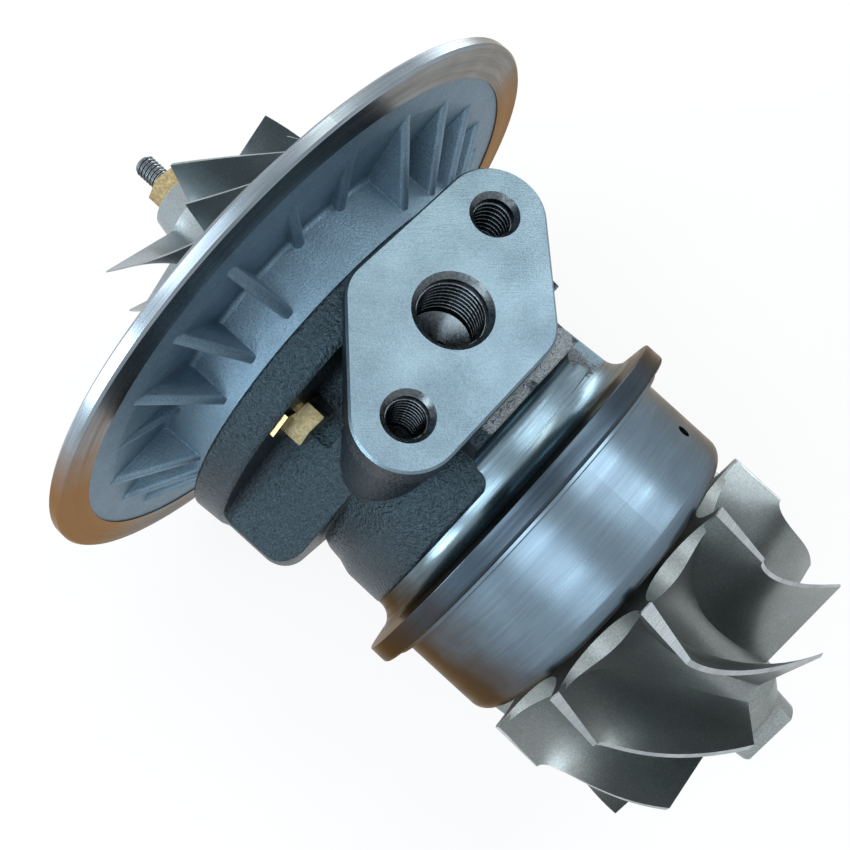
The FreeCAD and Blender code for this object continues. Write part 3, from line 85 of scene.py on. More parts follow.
class NodeSheet:
    """The nodes of one material, added and joined by short calls."""

    def __init__(self, name: str) -> None:
        """Starts a material with a shader, an output and object coordinates.

        Args:
            name: Name of the material.
        """
        self.material = bpy.data.materials.new(name)
        self.material.use_nodes = True
        self.nodes = self.material.node_tree.nodes
        self.links = self.material.node_tree.links
        self.nodes.clear()
        self.shader = self.nodes.new("ShaderNodeBsdfPrincipled")
        output = self.nodes.new("ShaderNodeOutputMaterial")
        self.links.new(self.shader.outputs["BSDF"], output.inputs["Surface"])
        self.place = self.nodes.new("ShaderNodeTexCoord").outputs["Object"]

    def feed(self, socket: Socket, value: Socket | float | Colour) -> None:
        """Joins a socket to a node, or sets its value."""
        if isinstance(value, bpy.types.NodeSocket):
            self.links.new(value, socket)
        else:
            socket.default_value = value

    def calc(self, operation: str, first: Socket | float, second: Socket | float = 0.0) -> Socket:
        """Adds one step of arithmetic.

        Args:
            operation: Name of the Math node's operation.
            first: First number.
            second: Second number, where the operation takes two.

        Returns:
            The result's socket.
        """
        node = self.nodes.new("ShaderNodeMath")
        node.operation = operation
        self.feed(node.inputs[0], first)
        self.feed(node.inputs[1], second)
        return node.outputs[0]

    def noise(self, size: float, detail: float = 2.0, place: Socket | None = None) -> Socket:
        """Adds noise.

        Args:
            size: Size of its blots in millimetres.
            detail: How many finer layers lie on it.
            place: Coordinates, or None for the object's own.

        Returns:
            The noise, from 0 to 1.
        """
        node = self.nodes.new("ShaderNodeTexNoise")
        self.links.new(place or self.place, node.inputs["Vector"])
        node.inputs["Scale"].default_value = 1.0 / (size * MM)
        node.inputs["Detail"].default_value = detail
        return node.outputs["Fac"]

    def span(self, value: Socket, start: float, end: float,
             low: float = 0.0, high: float = 1.0) -> Socket:
        """Stretches a range of a value to another range, clamped.

        Args:
            value: The value to stretch.
            start: Where its range starts.
            end: Where its range ends.
            low: Result at the start.
            high: Result at the end.

        Returns:
            The stretched value.
        """
        node = self.nodes.new("ShaderNodeMapRange")
        self.links.new(value, node.inputs["Value"])
        for name, number in (("From Min", start), ("From Max", end), ("To Min", low), ("To Max", high)):
            node.inputs[name].default_value = number
        return node.outputs["Result"]

    def blend(self, share: Socket, first: Socket | Colour, second: Socket | Colour) -> Socket:
        """Mixes two colours by a share of the second."""
        node = self.nodes.new("ShaderNodeMix")
        node.data_type = "RGBA"
        self.feed(node.inputs[0], share)
        self.feed(node.inputs[6], first)
        self.feed(node.inputs[7], second)
        return node.outputs[2]

    def bump(self, height: Socket, depth: float, under: Socket | None = None) -> Socket:
        """Adds a relief.

        Args:
            height: Height from 0 to 1.
            depth: Depth of the whole range in millimetres.
            under: Normal of the relief that it lies on.

        Returns:
            The bent normal.
        """
        node = self.nodes.new("ShaderNodeBump")
        node.inputs["Distance"].default_value = depth * MM
        self.links.new(height, node.inputs["Height"])
        if under is not None:
            self.links.new(under, node.inputs["Normal"])
        return node.outputs["Normal"]

    def distance(self, point: tuple[float, float, float]) -> Socket:
        """Gives the distance in metres from a point that is written in millimetres."""
        node = self.nodes.new("ShaderNodeVectorMath")
        node.operation = "DISTANCE"
        self.links.new(self.place, node.inputs[0])
        node.inputs[1].default_value = Vector(point) * MM
        return node.outputs["Value"]

    def soft_edges(self, radius: float) -> Socket:
        """Gives a normal that rounds the edges as a casting's are.

        Args:
            radius: Radius of the rounding in millimetres.

        Returns:
            The bent normal.
        """
        node = self.nodes.new("ShaderNodeBevel")
        node.samples = 4
        node.inputs["Radius"].default_value = radius * MM
        return node.outputs["Normal"]

    def parts(self) -> tuple[Socket, Socket, Socket]:
        """Gives the object's X, Y and Z coordinates."""
        split = self.nodes.new("ShaderNodeSeparateXYZ")
        self.links.new(self.place, split.inputs[0])
        return split.outputs[0], split.outputs[1], split.outputs[2]

    def join(self, x: Socket | float, y: Socket | float, z: Socket | float) -> Socket:
        """Makes coordinates from three numbers."""
        node = self.nodes.new("ShaderNodeCombineXYZ")
        for socket, value in zip(node.inputs, (x, y, z)):
            self.feed(socket, value)
        return node.outputs[0]

    def turning_place(self, drift: float = 0.002) -> Socket:
        """Gives coordinates that hardly change round the rotor axis, as a lathe's marks do.

        Args:
            drift: How far the pattern moves in a whole turn, in metres.

        Returns:
            Station, radius and a little of the angle.
        """
        x, y, z = self.parts()
        squares = self.calc("ADD", self.calc("MULTIPLY", y, y), self.calc("MULTIPLY", z, z))
        radius = self.calc("SQRT", squares)
        angle = self.calc("ARCTAN2", y, z)
        return self.join(x, radius, self.calc("MULTIPLY", angle, drift))

    def finish(self, colour: Socket | Colour, roughness: Socket | float, metallic: float,
               normal: Socket | None = None) -> bpy.types.Material:
        """Joins everything to the shader.

        Args:
            colour: Base colour.
            roughness: Roughness.
            metallic: 1 for bare metal.
            normal: Bent normal, if the surface has a relief.

        Returns:
            The material.
        """
        self.feed(self.shader.inputs["Base Color"], colour)
        self.feed(self.shader.inputs["Roughness"], roughness)
        self.shader.inputs["Metallic"].default_value = metallic
        if normal is not None:
            self.links.new(normal, self.shader.inputs["Normal"])
        return self.material


@dataclass(frozen=True)
class BareSpot:
    """A place where a casting's paint is blasted off."""

    place: tuple[float, float, float]
    reach: float


@dataclass(frozen=True)
class CastSkin:
    """Sand-cast skin: an uneven ground with the sand's grains in it, and perhaps some bare spots."""

    name: str
    ground: Colour
    hollow: Colour
    metallic: float
    roughness: float
    grain: float = 0.7
    grain_depth: float = 0.06
    swell: float = 7.0
    swell_depth: float = 0.25
    shine: float = 0.5
    shine_tint: Colour = (1.0, 1.0, 1.0, 1.0)
    ior: float = 1.5
    edge_round: float = 0.0
    bare: Colour = (0.16, 0.18, 0.195, 1.0)
    bare_metallic: float = 0.85
    bare_core: float = 0.75
    bare_ragged: float = 4.0
    bare_spots: tuple[BareSpot, ...] = ()

    def bareness(self, sheet: NodeSheet) -> Socket:
        """Tells how bare the skin is: 1 in the middle of a bare spot, with a ragged edge.

        Args:
            sheet: The material's nodes.

        Returns:
            The share of bare metal.
        """
        wander = self.bare_ragged * MM
        ragged = sheet.span(sheet.noise(2.2, 4.0), 0.2, 0.8, -wander, wander)
        most: Socket | float = 0.0
        for spot in self.bare_spots:
            away = sheet.calc("ADD", sheet.distance(spot.place), ragged)
            near = sheet.span(away, spot.reach * MM, spot.reach * self.bare_core * MM)
            most = sheet.calc("MAXIMUM", near, most)
        return most

    def material(self) -> bpy.types.Material:
        """Makes the material."""
        sheet = NodeSheet(self.name)
        sand = sheet.noise(self.grain, 2.0)
        fine = sheet.noise(self.grain * 0.4, 2.0)
        swell = sheet.noise(self.swell, 2.0)
        share = sheet.calc("MULTIPLY", sheet.span(swell, 0.3, 0.7, 0.5, 1.0),
                           sheet.span(sand, 0.35, 0.65, 0.2, 1.0))
        colour = sheet.blend(share, self.hollow, self.ground)
        under = sheet.soft_edges(self.edge_round) if self.edge_round else None
        relief = sheet.bump(swell, self.swell_depth, under)
        relief = sheet.bump(sand, self.grain_depth, relief)
        relief = sheet.bump(fine, self.grain_depth * 0.4, relief)
        rough = sheet.span(fine, 0.3, 0.7, self.roughness - 0.06, self.roughness + 0.08)
        sheet.shader.inputs["Specular IOR Level"].default_value = self.shine
        sheet.shader.inputs["Specular Tint"].default_value = self.shine_tint
        sheet.shader.inputs["IOR"].default_value = self.ior
        material = sheet.finish(colour, rough, self.metallic, relief)
        if self.bare_spots:
            bareness = self.bareness(sheet)
            sheet.feed(sheet.shader.inputs["Base Color"], sheet.blend(bareness, colour, self.bare))
            sheet.feed(sheet.shader.inputs["Metallic"],
                       sheet.span(bareness, 0.0, 1.0, self.metallic, self.bare_metallic))
        return material


@dataclass(frozen=True)
class TurnedMetal:
    """Metal from the lathe: fine lines round the rotor axis, cloudy stains, and perhaps a painted brown
    reflection lower down.

    The painted reflection starts at one height, is full at a lower one and ends again below a third
    height.
    """

    name: str
    bright: Colour
    dull: Colour
    roughness: float
    line: float = 0.25
    line_depth: float = 0.012
    band: float = 3.0
    speckle_depth: float = 0.004
    # The painted brown reflection: its colour, the height where it starts, where it is full, its share,
    # where it ends, how far that end fades and how far its edges waver.
    lamp_or_reflection_colour: Colour = (0.10, 0.062, 0.034, 1.0)
    painted_reflection_from: float = 0.0
    painted_reflection_to: float = -1.0
    painted_reflection_share: float = 0.0
    painted_reflection_low: float = -1000.0
    painted_reflection_fade: float = 25.0
    painted_reflection_waver: float = 8.0
    rim_tint: Colour = (1.0, 1.0, 1.0, 1.0)

    def material(self) -> bpy.types.Material:
        """Makes the material."""
        sheet = NodeSheet(self.name)
        turning = sheet.turning_place()
        lines = sheet.noise(self.line, 2.0, turning)
        bands = sheet.noise(self.band, 2.0, turning)
        stain = sheet.noise(14.0, 3.0)
        share = sheet.calc("ADD", sheet.calc("MULTIPLY", sheet.span(lines, 0.3, 0.7), 0.4),
                           sheet.calc("MULTIPLY", sheet.span(bands, 0.3, 0.7), 0.6))
        share = sheet.calc("MULTIPLY", share, sheet.span(stain, 0.3, 0.6, 0.6, 1.0))
        colour = sheet.blend(share, self.dull, self.bright)
        # Painted brown reflection: the base colour turns brown lower down, by height with wavy edges,
        # and turns back below a set height.
        if self.painted_reflection_share:
            waver = self.painted_reflection_waver * MM
            height = sheet.calc("ADD", sheet.parts()[2], sheet.span(stain, 0.2, 0.8, -waver, waver))
            painted_reflection = sheet.span(height, self.painted_reflection_from * MM, self.painted_reflection_to * MM, 0.0, self.painted_reflection_share)
            fade = sheet.span(height, (self.painted_reflection_low - self.painted_reflection_fade) * MM, self.painted_reflection_low * MM)
            colour = sheet.blend(sheet.calc("MULTIPLY", painted_reflection, fade), colour, self.lamp_or_reflection_colour)
        rough = sheet.span(bands, 0.3, 0.7, self.roughness + 0.06, self.roughness - 0.05)
        relief = sheet.bump(sheet.noise(0.5, 2.0), self.speckle_depth)
        sheet.shader.inputs["Specular Tint"].default_value = self.rim_tint
        return sheet.finish(colour, rough, 1.0, sheet.bump(lines, self.line_depth, relief))


@dataclass(frozen=True)
class GroundMetal:
    """Flat-ground or rubbed metal: a fine speckle with no direction, and faint scratches."""

    name: str
    bright: Colour
    dull: Colour
    roughness: float
    speckle: float = 0.5
    speckle_depth: float = 0.01

    def material(self) -> bpy.types.Material:
        """Makes the material."""
        sheet = NodeSheet(self.name)
        speckle = sheet.noise(self.speckle, 3.0)
        cloud = sheet.noise(12.0, 3.0)
        x, y, z = sheet.parts()
        streak_place = sheet.join(sheet.calc("MULTIPLY", sheet.calc("ADD", x, y), 0.04),
                                  sheet.calc("SUBTRACT", x, y), z)
        streak = sheet.noise(0.3, 2.0, streak_place)
        share = sheet.calc("ADD", sheet.calc("MULTIPLY", sheet.span(speckle, 0.35, 0.65), 0.5),
                           sheet.calc("MULTIPLY", sheet.span(cloud, 0.3, 0.7), 0.5))
        colour = sheet.blend(share, self.dull, self.bright)
        relief = sheet.bump(streak, self.speckle_depth)
        relief = sheet.bump(speckle, self.speckle_depth, relief)
        rough = sheet.span(speckle, 0.3, 0.7, self.roughness - 0.05, self.roughness + 0.05)
        return sheet.finish(colour, rough, 1.0, relief)


@dataclass(frozen=True)
class SoftRubber:
    """Dull moulded rubber."""

    name: str
    tone: Colour
    bloom: Colour

    def material(self) -> bpy.types.Material:
        """Makes the material."""
        sheet = NodeSheet(self.name)
        cloud = sheet.noise(2.0, 3.0)
        colour = sheet.blend(sheet.span(cloud, 0.35, 0.7), self.tone, self.bloom)
        return sheet.finish(colour, 0.62, 0.0, sheet.bump(sheet.noise(0.4), 0.01))


SHOULDER_SPOTS = tuple(BareSpot((-17.0, y, 45.0), 5.5) for y in (-6.0, 1.0, 8.0, 15.0))
NECK_SPOTS = (BareSpot((-12.0, 31.0, 27.0), 9.0), BareSpot((-20.0, 34.0, 22.0), 11.0),
              BareSpot((-12.0, 37.0, 16.0), 9.0))
PAINTED_IRON = CastSkin("painted_iron", seen(22, 28, 34), seen(8, 9, 10), 0.0, 0.34,
                        grain=0.85, grain_depth=0.55, swell=6.0, swell_depth=0.3, shine=1.0,
                        shine_tint=(0.50, 0.80, 1.0, 1.0), ior=1.34, edge_round=0.9,
                        bare_spots=SHOULDER_SPOTS + NECK_SPOTS)
SAND_ALUMINIUM = CastSkin("sand_aluminium", seen(118, 146, 164), seen(90, 112, 128), 0.6, 0.48,
                          grain=0.4, grain_depth=0.09, swell=5.0, swell_depth=0.08, edge_round=0.5)
CAST_NICKEL = CastSkin("cast_nickel", seen(144, 151, 151), seen(114, 120, 120), 0.95, 0.38,
                       grain=0.35, grain_depth=0.010, swell=9.0, swell_depth=0.10)
WHEEL_ALUMINIUM = CastSkin("wheel_aluminium", seen(164, 174, 178), seen(134, 144, 149), 0.95, 0.34,
                           grain=0.4, grain_depth=0.008, swell=9.0, swell_depth=0.05)
WARM_RIM = (0.62, 0.52, 0.42, 1.0)
# Gold-brown painted reflection across the rim's lower part, set by height.
RIM_METAL = TurnedMetal("rim_metal", seen(160, 174, 186), seen(106, 116, 124), 0.25, line=0.3,
                        line_depth=0.006, rim_tint=WARM_RIM,
                        lamp_or_reflection_colour=seen(146, 108, 70), painted_reflection_from=47.0, painted_reflection_to=22.0, painted_reflection_share=0.88,
                        painted_reflection_low=-20.0)
FRONT_METAL = TurnedMetal("front_metal", seen(160, 172, 182), seen(112, 122, 130), 0.25, line=0.3,
                          line_depth=0.006)
# Dark brown painted reflection that darkens the shield's lower side, set by height.
SHIELD_METAL = TurnedMetal("shield_metal", seen(112, 132, 146), seen(88, 104, 117), 0.28, line=0.5,
                           line_depth=0.002, band=6.0, speckle_depth=0.001, rim_tint=WARM_RIM,
                           lamp_or_reflection_colour=seen(72, 58, 46), painted_reflection_from=32.0, painted_reflection_to=9.0, painted_reflection_share=0.92)
# Dark brown painted reflection on the neck's lower side, set by height.
NECK_METAL = TurnedMetal("neck_metal", seen(124, 147, 158), seen(82, 98, 109), 0.28, line=0.35,
                         line_depth=0.010, band=1.2, speckle_depth=0.002, rim_tint=WARM_RIM,
                         lamp_or_reflection_colour=seen(62, 50, 40), painted_reflection_from=30.0, painted_reflection_to=8.0, painted_reflection_share=0.9)
# Dark brown painted reflection on the flange's lower side, set by height.
FLANGE_METAL = TurnedMetal("flange_metal", seen(66, 79, 90), seen(44, 54, 63), 0.30, line=0.45,
                           line_depth=0.003, speckle_depth=0.012, rim_tint=WARM_RIM,
                           lamp_or_reflection_colour=seen(70, 54, 38), painted_reflection_from=34.0, painted_reflection_to=12.0, painted_reflection_share=0.92)
CONTOUR_METAL = TurnedMetal("contour_metal", seen(186, 193, 196), seen(140, 148, 152), 0.25)
SHAFT_METAL = TurnedMetal("shaft_metal", seen(158, 164, 168), seen(110, 116, 120), 0.22, line=0.15)
BORE_METAL = TurnedMetal("bore_metal", seen(110, 112, 112), seen(72, 72, 70), 0.30)
PAD_METAL = GroundMetal("pad_metal", seen(122, 144, 157), seen(84, 102, 114), 0.42, speckle=0.3,
                        speckle_depth=0.05)
THREAD_METAL = GroundMetal("thread_metal", seen(108, 118, 124), seen(62, 68, 72), 0.28, speckle=0.6)
ZINC_YELLOW = GroundMetal("zinc_yellow", seen(178, 174, 142), seen(132, 122, 90), 0.22, speckle=0.6)
WASHER_STEEL = GroundMetal("washer_steel", seen(150, 136, 98), seen(84, 74, 56), 0.30, speckle=0.8)
NUT_STEEL = GroundMetal("nut_steel", seen(192, 178, 138), seen(136, 118, 84), 0.20, speckle=0.8)
PLATE_IRON = GroundMetal("plate_iron", seen(110, 112, 114), seen(74, 76, 78), 0.42)
SPRING_STEEL = GroundMetal("spring_steel", seen(96, 98, 102), seen(60, 62, 66), 0.32)
BRONZE = TurnedMetal("bronze", seen(196, 158, 96), seen(146, 110, 60), 0.28)
SHEET_STEEL = GroundMetal("sheet_steel", seen(150, 152, 154), seen(112, 114, 116), 0.34)
PLUG_STEEL = GroundMetal("plug_steel", seen(120, 126, 130), seen(78, 82, 86), 0.34)
BLACK_RUBBER = SoftRubber("black_rubber", seen(24, 24, 25), seen(40, 40, 42))

Finish = CastSkin | TurnedMetal | GroundMetal | SoftRubber


class Paintbox:
    """Keeps one material for each finish, so that it is made once."""

    def __init__(self) -> None:
        """Starts empty."""
        self.made: dict[str, bpy.types.Material] = {}

    def material(self, finish: Finish) -> bpy.types.Material:
        """Gives a finish's material, made at its first use."""
        if finish.name not in self.made:
            self.made[finish.name] = finish.material()
        return self.made[finish.name]

    def cover(self, piece: bpy.types.Object, finish: Finish) -> None:
        """Gives a whole piece one finish.

        Args:
            piece: The piece.
            finish: Its finish.
        """
        piece.data.materials.clear()
        piece.data.materials.append(self.material(finish))

    def cover_zones(self, piece: bpy.types.Object, finishes: dict[Zone, Finish],
                    choose: Callable[[Vector, Vector], Zone]) -> None:
        """Gives each face of a piece the finish of its zone.

        Args:
            piece: The piece.
            finishes: The finish of every zone that the piece has.
            choose: Tells the zone from a face's middle, in millimetres, and its normal.
        """
        zones = list(finishes)
        piece.data.materials.clear()
        for zone in zones:
            piece.data.materials.append(self.material(finishes[zone]))
        for face in piece.data.polygons:
            face.material_index = zones.index(choose(face.center / MM, face.normal))


@dataclass
class HelixThread:
    """A V thread that stands on a round wall: inwards in a hole, outwards on a bar.

    Its foot is sunk into the wall, and half_foot is half the foot's width as a share of the pitch.
    """

    name: str
    start: tuple[float, float, float]
    along: Along
    wall_r: float
    crest_r: float
    pitch: float
    length: float
    sink: float = 0.06
    steps: int = 32
    half_foot: float = 0.46

    def build(self) -> bpy.types.Object:
        """Winds a triangle round the axis and puts the thread in its place.

        Returns:
            The thread as a closed mesh.
        """
        bpy.ops.object.select_all(action="DESELECT")
        bpy.ops.mesh.primitive_circle_add(vertices=3, radius=MM, fill_type="NOTHING", location=(0, 0, 0))
        thread = bpy.context.active_object
        thread.name = self.name
        root_r = self.wall_r - math.copysign(self.sink, self.crest_r - self.wall_r)
        depth = self.crest_r - root_r
        flat_to_profile = Matrix(((0, 1, 0), (0, 0, 1), (1, 0, 0))).to_4x4()
        width = self.half_foot * self.pitch / math.sin(math.radians(60))
        size = Matrix.Diagonal((width, depth / 1.5, 1.0, 1.0))
        shift = Matrix.Translation((MM * (root_r + depth / 3), 0, 0))
        thread.matrix_world = shift @ flat_to_profile @ size
        bpy.ops.object.transform_apply(location=True, rotation=True, scale=True)
        winding = thread.modifiers.new("winding", "SCREW")
        winding.axis = "Z"
        winding.screw_offset = self.pitch * MM
        winding.iterations = max(1, int(self.length / self.pitch))
        winding.steps = self.steps
        winding.render_steps = self.steps
        bpy.ops.object.modifier_apply(modifier=winding.name)
        bpy.ops.object.mode_set(mode="EDIT")
        bpy.ops.mesh.select_all(action="SELECT")
        bpy.ops.mesh.remove_doubles(threshold=1e-7)
        bpy.ops.mesh.fill_holes(sides=3)
        bpy.ops.mesh.select_all(action="SELECT")
        bpy.ops.mesh.normals_make_consistent(inside=False)
        bpy.ops.object.mode_set(mode="OBJECT")
        angle = math.radians(90) if self.along is Along.ROTOR else 0.0
        turn = Matrix.Rotation(angle, 4, "Y")
        thread.matrix_world = Matrix.Translation(Vector(self.start) * MM) @ turn
        bpy.ops.object.transform_apply(location=True, rotation=True, scale=True)
        return thread


@dataclass(frozen=True)
class TappedHole:
    """An upright tapped hole: its mouth's place, its core and where it leads."""

    name: str
    x: float
    y: float
    face_z: float
    inwards: float
    core_r: float
    pitch: float
    depth: float
    mouth: float = 1.15
    mouth_share: float = 0.6
    rise: float = 0.5

    def holds(self, point: Vector) -> bool:
        """Tells whether a point of the casting lies on the hole's wall or in its mouth."""
        below = (point.z - self.face_z) * self.inwards
        away = math.hypot(point.x - self.x, point.y - self.y)
        return -0.01 < below < self.depth + self.core_r and away < self.core_r + self.mouth

    def thread(self) -> HelixThread:
        """Gives the thread that stands on the hole's wall."""
        length = self.depth - self.mouth - self.pitch
        first = self.face_z + self.inwards * self.mouth * self.mouth_share
        bottom = min(first, first + self.inwards * length)
        return HelixThread(self.name, (self.x, self.y, bottom), Along.UPRIGHT, self.core_r,
                           self.core_r - self.rise, self.pitch, length)


@dataclass
class BearingHousing:
    """The iron casting, its machined faces and the threads in its holes."""

    node: str = "bearing_housing"
    body: str = "housing"
    slot: str = "black_cast_iron"
    pad_top: float = 55.0
    pad_x: float = -35.9
    pad_bolt_offset: tuple[float, float] = (8.0, -22.25)
    drain_x: float = -22.0
    drain_face: float = -52.0
    drain_bolt_y: float = 22.2
    drain_bore_r: float = 9.5
    drain_bore_end: float = -14.0
    seat_x: float = -56.2
    bore_r: float = 32.6
    collar_end: float = -7.9
    neck_r: float = 40.1
    relief_from: float = -14.4
    relief_r: float = 40.2
    relief_cove: float = 3.5
    relief_angles: tuple[float, float] = (-24.8, 39.9)
    flange_r: float = 44.5

    def holes(self) -> list[TappedHole]:
        """Lists the pads' tapped holes."""
        ear_x, ear_y = self.pad_bolt_offset
        holes = [TappedHole("pad_thread_1", self.pad_x, 0.0, self.pad_top, -1.0, 7.2, 1.5, 16.0)]
        for index, side in enumerate((1, -1)):
            holes.append(TappedHole(f"pad_thread_{index + 2}", self.pad_x + side * ear_x, side * ear_y,
                                    self.pad_top, -1.0, 4.25, 1.5, 19.0))
            holes.append(TappedHole(f"drain_thread_{index + 1}", self.drain_x, side * self.drain_bolt_y,
                                    self.drain_face, 1.0, 3.4, 1.25, 15.0))
        return holes

    def in_relief(self, middle: Vector) -> bool:
        """Tells whether a face is the floor, cove or wall of the turned relief on the pad's side."""
        angle = math.degrees(math.atan2(middle.y, middle.z))
        start, end = self.relief_angles
        if not start < angle < end or middle.x > self.collar_end + 0.3:
            return False
        radius = math.hypot(middle.y, middle.z)
        cove_x, cove_r = self.relief_from + self.relief_cove, self.relief_r + self.relief_cove
        floor = abs(radius - self.relief_r) < 0.06 and middle.x > cove_x - 0.3
        off_cove = math.hypot(middle.x - cove_x, radius - cove_r) - self.relief_cove
        cove = abs(off_cove) < 0.08 and middle.x < cove_x and radius < cove_r
        return floor or cove or (abs(middle.x - self.relief_from) < 0.03 and radius > cove_r)

    def zone(self, middle: Vector, normal: Vector) -> Zone:
        """Tells what kind of surface a face of the casting is.

        Args:
            middle: The face's middle in millimetres.
            normal: Its normal.

        Returns:
            The zone.
        """
        radius = math.hypot(middle.y, middle.z)
        on_pad = abs(normal.z) > 0.9 and middle.z > self.pad_top - 0.1
        if not on_pad and any(hole.holds(middle) for hole in self.holes()):
            return Zone.THREAD
        if middle.z > self.pad_top - 0.6 and normal.z > 0.6:
            return Zone.GROUND
        if middle.z < self.drain_face + 0.05 and normal.z < -0.9:
            return Zone.GROUND
        in_drain = math.hypot(middle.x - self.drain_x, middle.y) < self.drain_bore_r + 0.1
        if (in_drain and middle.z < self.drain_bore_end) or radius < self.bore_r:
            return Zone.BORE
        if middle.x < self.seat_x + 0.05:
            return Zone.TURNED
        if middle.x > self.collar_end + 0.02 and radius > self.neck_r - 0.3:
            return Zone.FLANGE if radius > self.flange_r else Zone.TURNED
        return Zone.TURNED if self.in_relief(middle) else Zone.CAST

    def dress(self, paints: Paintbox) -> list[bpy.types.Object]:
        """Gives the casting its finishes and adds its threads.

        Args:
            paints: Where the materials come from.

        Returns:
            The new pieces.
        """
        finishes = {Zone.CAST: PAINTED_IRON, Zone.GROUND: PAD_METAL, Zone.TURNED: NECK_METAL,
                    Zone.FLANGE: FLANGE_METAL, Zone.BORE: BORE_METAL, Zone.THREAD: THREAD_METAL}
        paints.cover_zones(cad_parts[self.node], finishes, self.zone)
        pieces = [hole.thread().build() for hole in self.holes()]
        for piece in pieces:
            paints.cover(piece, THREAD_METAL)
            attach(piece, self.body)
        return pieces


@dataclass
class ShaftEnd:
    """The free end of the shaft, whose thread shows beyond the nut."""

    body: str = "rotor"
    slot: str = "ground_steel"
    start_x: float = -127.7
    core_r: float = 2.55
    crest_r: float = 2.95
    pitch: float = 1.0
    length: float = 7.5

    def dress(self, paints: Paintbox) -> bpy.types.Object:
        """Winds the thread and gives it its finish.

        Args:
            paints: Where the materials come from.

        Returns:
            The thread.
        """
        thread = HelixThread("shaft_end_thread", (self.start_x, 0.0, 0.0), Along.ROTOR, self.core_r,
                             self.crest_r, self.pitch, self.length).build()
        paints.cover(thread, THREAD_METAL)
        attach(thread, self.body)
        return thread


@dataclass
class Backplate:
    """The cast aluminium disc with its turned rim."""

    node: str = "compressor_backplate"
    band_inner_r: float = 69.5
    front_x: float = -71.8
    land_front_x: float = -72.2
    boss_face_x: float = -56.3
    bore_r: float = 33.6

    def zone(self, middle: Vector, normal: Vector) -> Zone:
        """Tells the rim, which carries a painted brown reflection, the other turned faces and the cast
        faces apart.
        """
        radius = math.hypot(middle.y, middle.z)
        if radius > self.band_inner_r and middle.x > self.land_front_x and normal.x > -0.5:
            return Zone.RIM
        if radius > self.band_inner_r or radius < self.bore_r or middle.x > self.boss_face_x:
            return Zone.TURNED
        return Zone.TURNED if normal.x < -0.3 or middle.x < self.front_x else Zone.CAST

    def dress(self, paints: Paintbox) -> None:
        """Gives the disc its finishes."""
        finishes = {Zone.CAST: SAND_ALUMINIUM, Zone.TURNED: FRONT_METAL, Zone.RIM: RIM_METAL}
        paints.cover_zones(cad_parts[self.node], finishes, self.zone)


@dataclass
class BladedWheel:
    """A cast wheel whose blade edges are turned to the housing's contour.

    The contour is a quarter of an ellipse. It is square to the axis at the rim and parallel to it
    at the mouth. Both ends are given as (station, radius).
    """

    node: str
    skin: CastSkin
    edge: TurnedMetal
    rim: tuple[float, float]
    mouth: tuple[float, float]
    reach: float = 0.14

    def off_contour(self, station: float, radius: float) -> float:
        """Gives about how far a point lies from the contour, in millimetres."""
        long, high = self.rim[0] - self.mouth[0], self.rim[1] - self.mouth[1]
        along, across = (station - self.mouth[0]) / long, (self.rim[1] - radius) / high
        if along < 0.0:
            return abs(radius - self.mouth[1])
        if along > 1.0 or across < 0.0:
            return abs(radius - self.rim[1])
        slope = 2.0 * math.hypot(along / long, across / high)
        return abs(along ** 2 + across ** 2 - 1.0) / slope

    def zone(self, middle: Vector, normal: Vector) -> Zone:
        """Tells a turned blade edge from the cast rest."""
        radius = math.hypot(middle.y, middle.z)
        on_edge = self.off_contour(middle.x, radius) < self.reach
        return Zone.TURNED if on_edge else Zone.CAST

    def dress(self, paints: Paintbox) -> None:
        """Gives the wheel its finishes."""
        paints.cover_zones(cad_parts[self.node], {Zone.CAST: self.skin, Zone.TURNED: self.edge},
                           self.zone)


@dataclass
class PlainPieces:
    """The pieces that have one finish all over."""

    def finishes(self) -> dict[str, Finish]:
        """Lists the finish of each plain node."""
        return {
            "gallery_plug": PLUG_STEEL, "backplate_bolts": ZINC_YELLOW,
            "lock_washers": WASHER_STEEL, "backplate_dowel": SHAFT_METAL,
            "cover_o_ring": BLACK_RUBBER, "backplate_o_ring": BLACK_RUBBER,
            "oil_seal_plate": PLATE_IRON, "seal_plate_o_ring": BLACK_RUBBER,
            "seal_plate_retaining_ring": SPRING_STEEL, "thrust_bearing": BRONZE,
            "thrust_bearing_pins": SPRING_STEEL, "oil_deflector": SHEET_STEEL,
            "bearing_snap_rings": SPRING_STEEL, "compressor_seal_ring": SPRING_STEEL,
            "turbine_seal_ring": SPRING_STEEL, "heat_shield": SHIELD_METAL, "shaft": SHAFT_METAL,
            "thrust_collar": SHAFT_METAL, "flinger_sleeve": SHAFT_METAL, "shaft_nut": NUT_STEEL,
            "compressor_journal_bearing": BRONZE, "turbine_journal_bearing": BRONZE,
        }

    def dress(self, paints: Paintbox) -> None:
        """Gives each node its finish."""
        for node, finish in self.finishes().items():
            paints.cover(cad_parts[node], finish)
            LOG.info("%s: %s", node, finish.name)


@dataclass(frozen=True)
class Lamp:
    """One soft rectangular lamp that looks at the object."""

    name: str
    place: tuple[float, float, float]
    width: float
    height: float
    power: float
    lamp_or_reflection_colour: Colour

    def build(self, aim: Vector) -> bpy.types.Object:
        """Hangs the lamp.

        Args:
            aim: The point that it looks at, in millimetres.

        Returns:
            The lamp.
        """
        place = Vector(self.place) * MM
        bpy.ops.object.light_add(type="AREA", location=place)
        lamp = bpy.context.active_object
        lamp.name = self.name
        lamp.data.shape = "RECTANGLE"
        lamp.data.size = self.width * MM
        lamp.data.size_y = self.height * MM
        lamp.data.energy = self.power
        lamp.data.color = self.lamp_or_reflection_colour[:3]
        lamp.rotation_euler = (aim * MM - place).to_track_quat("-Z", "Y").to_euler()
        return lamp


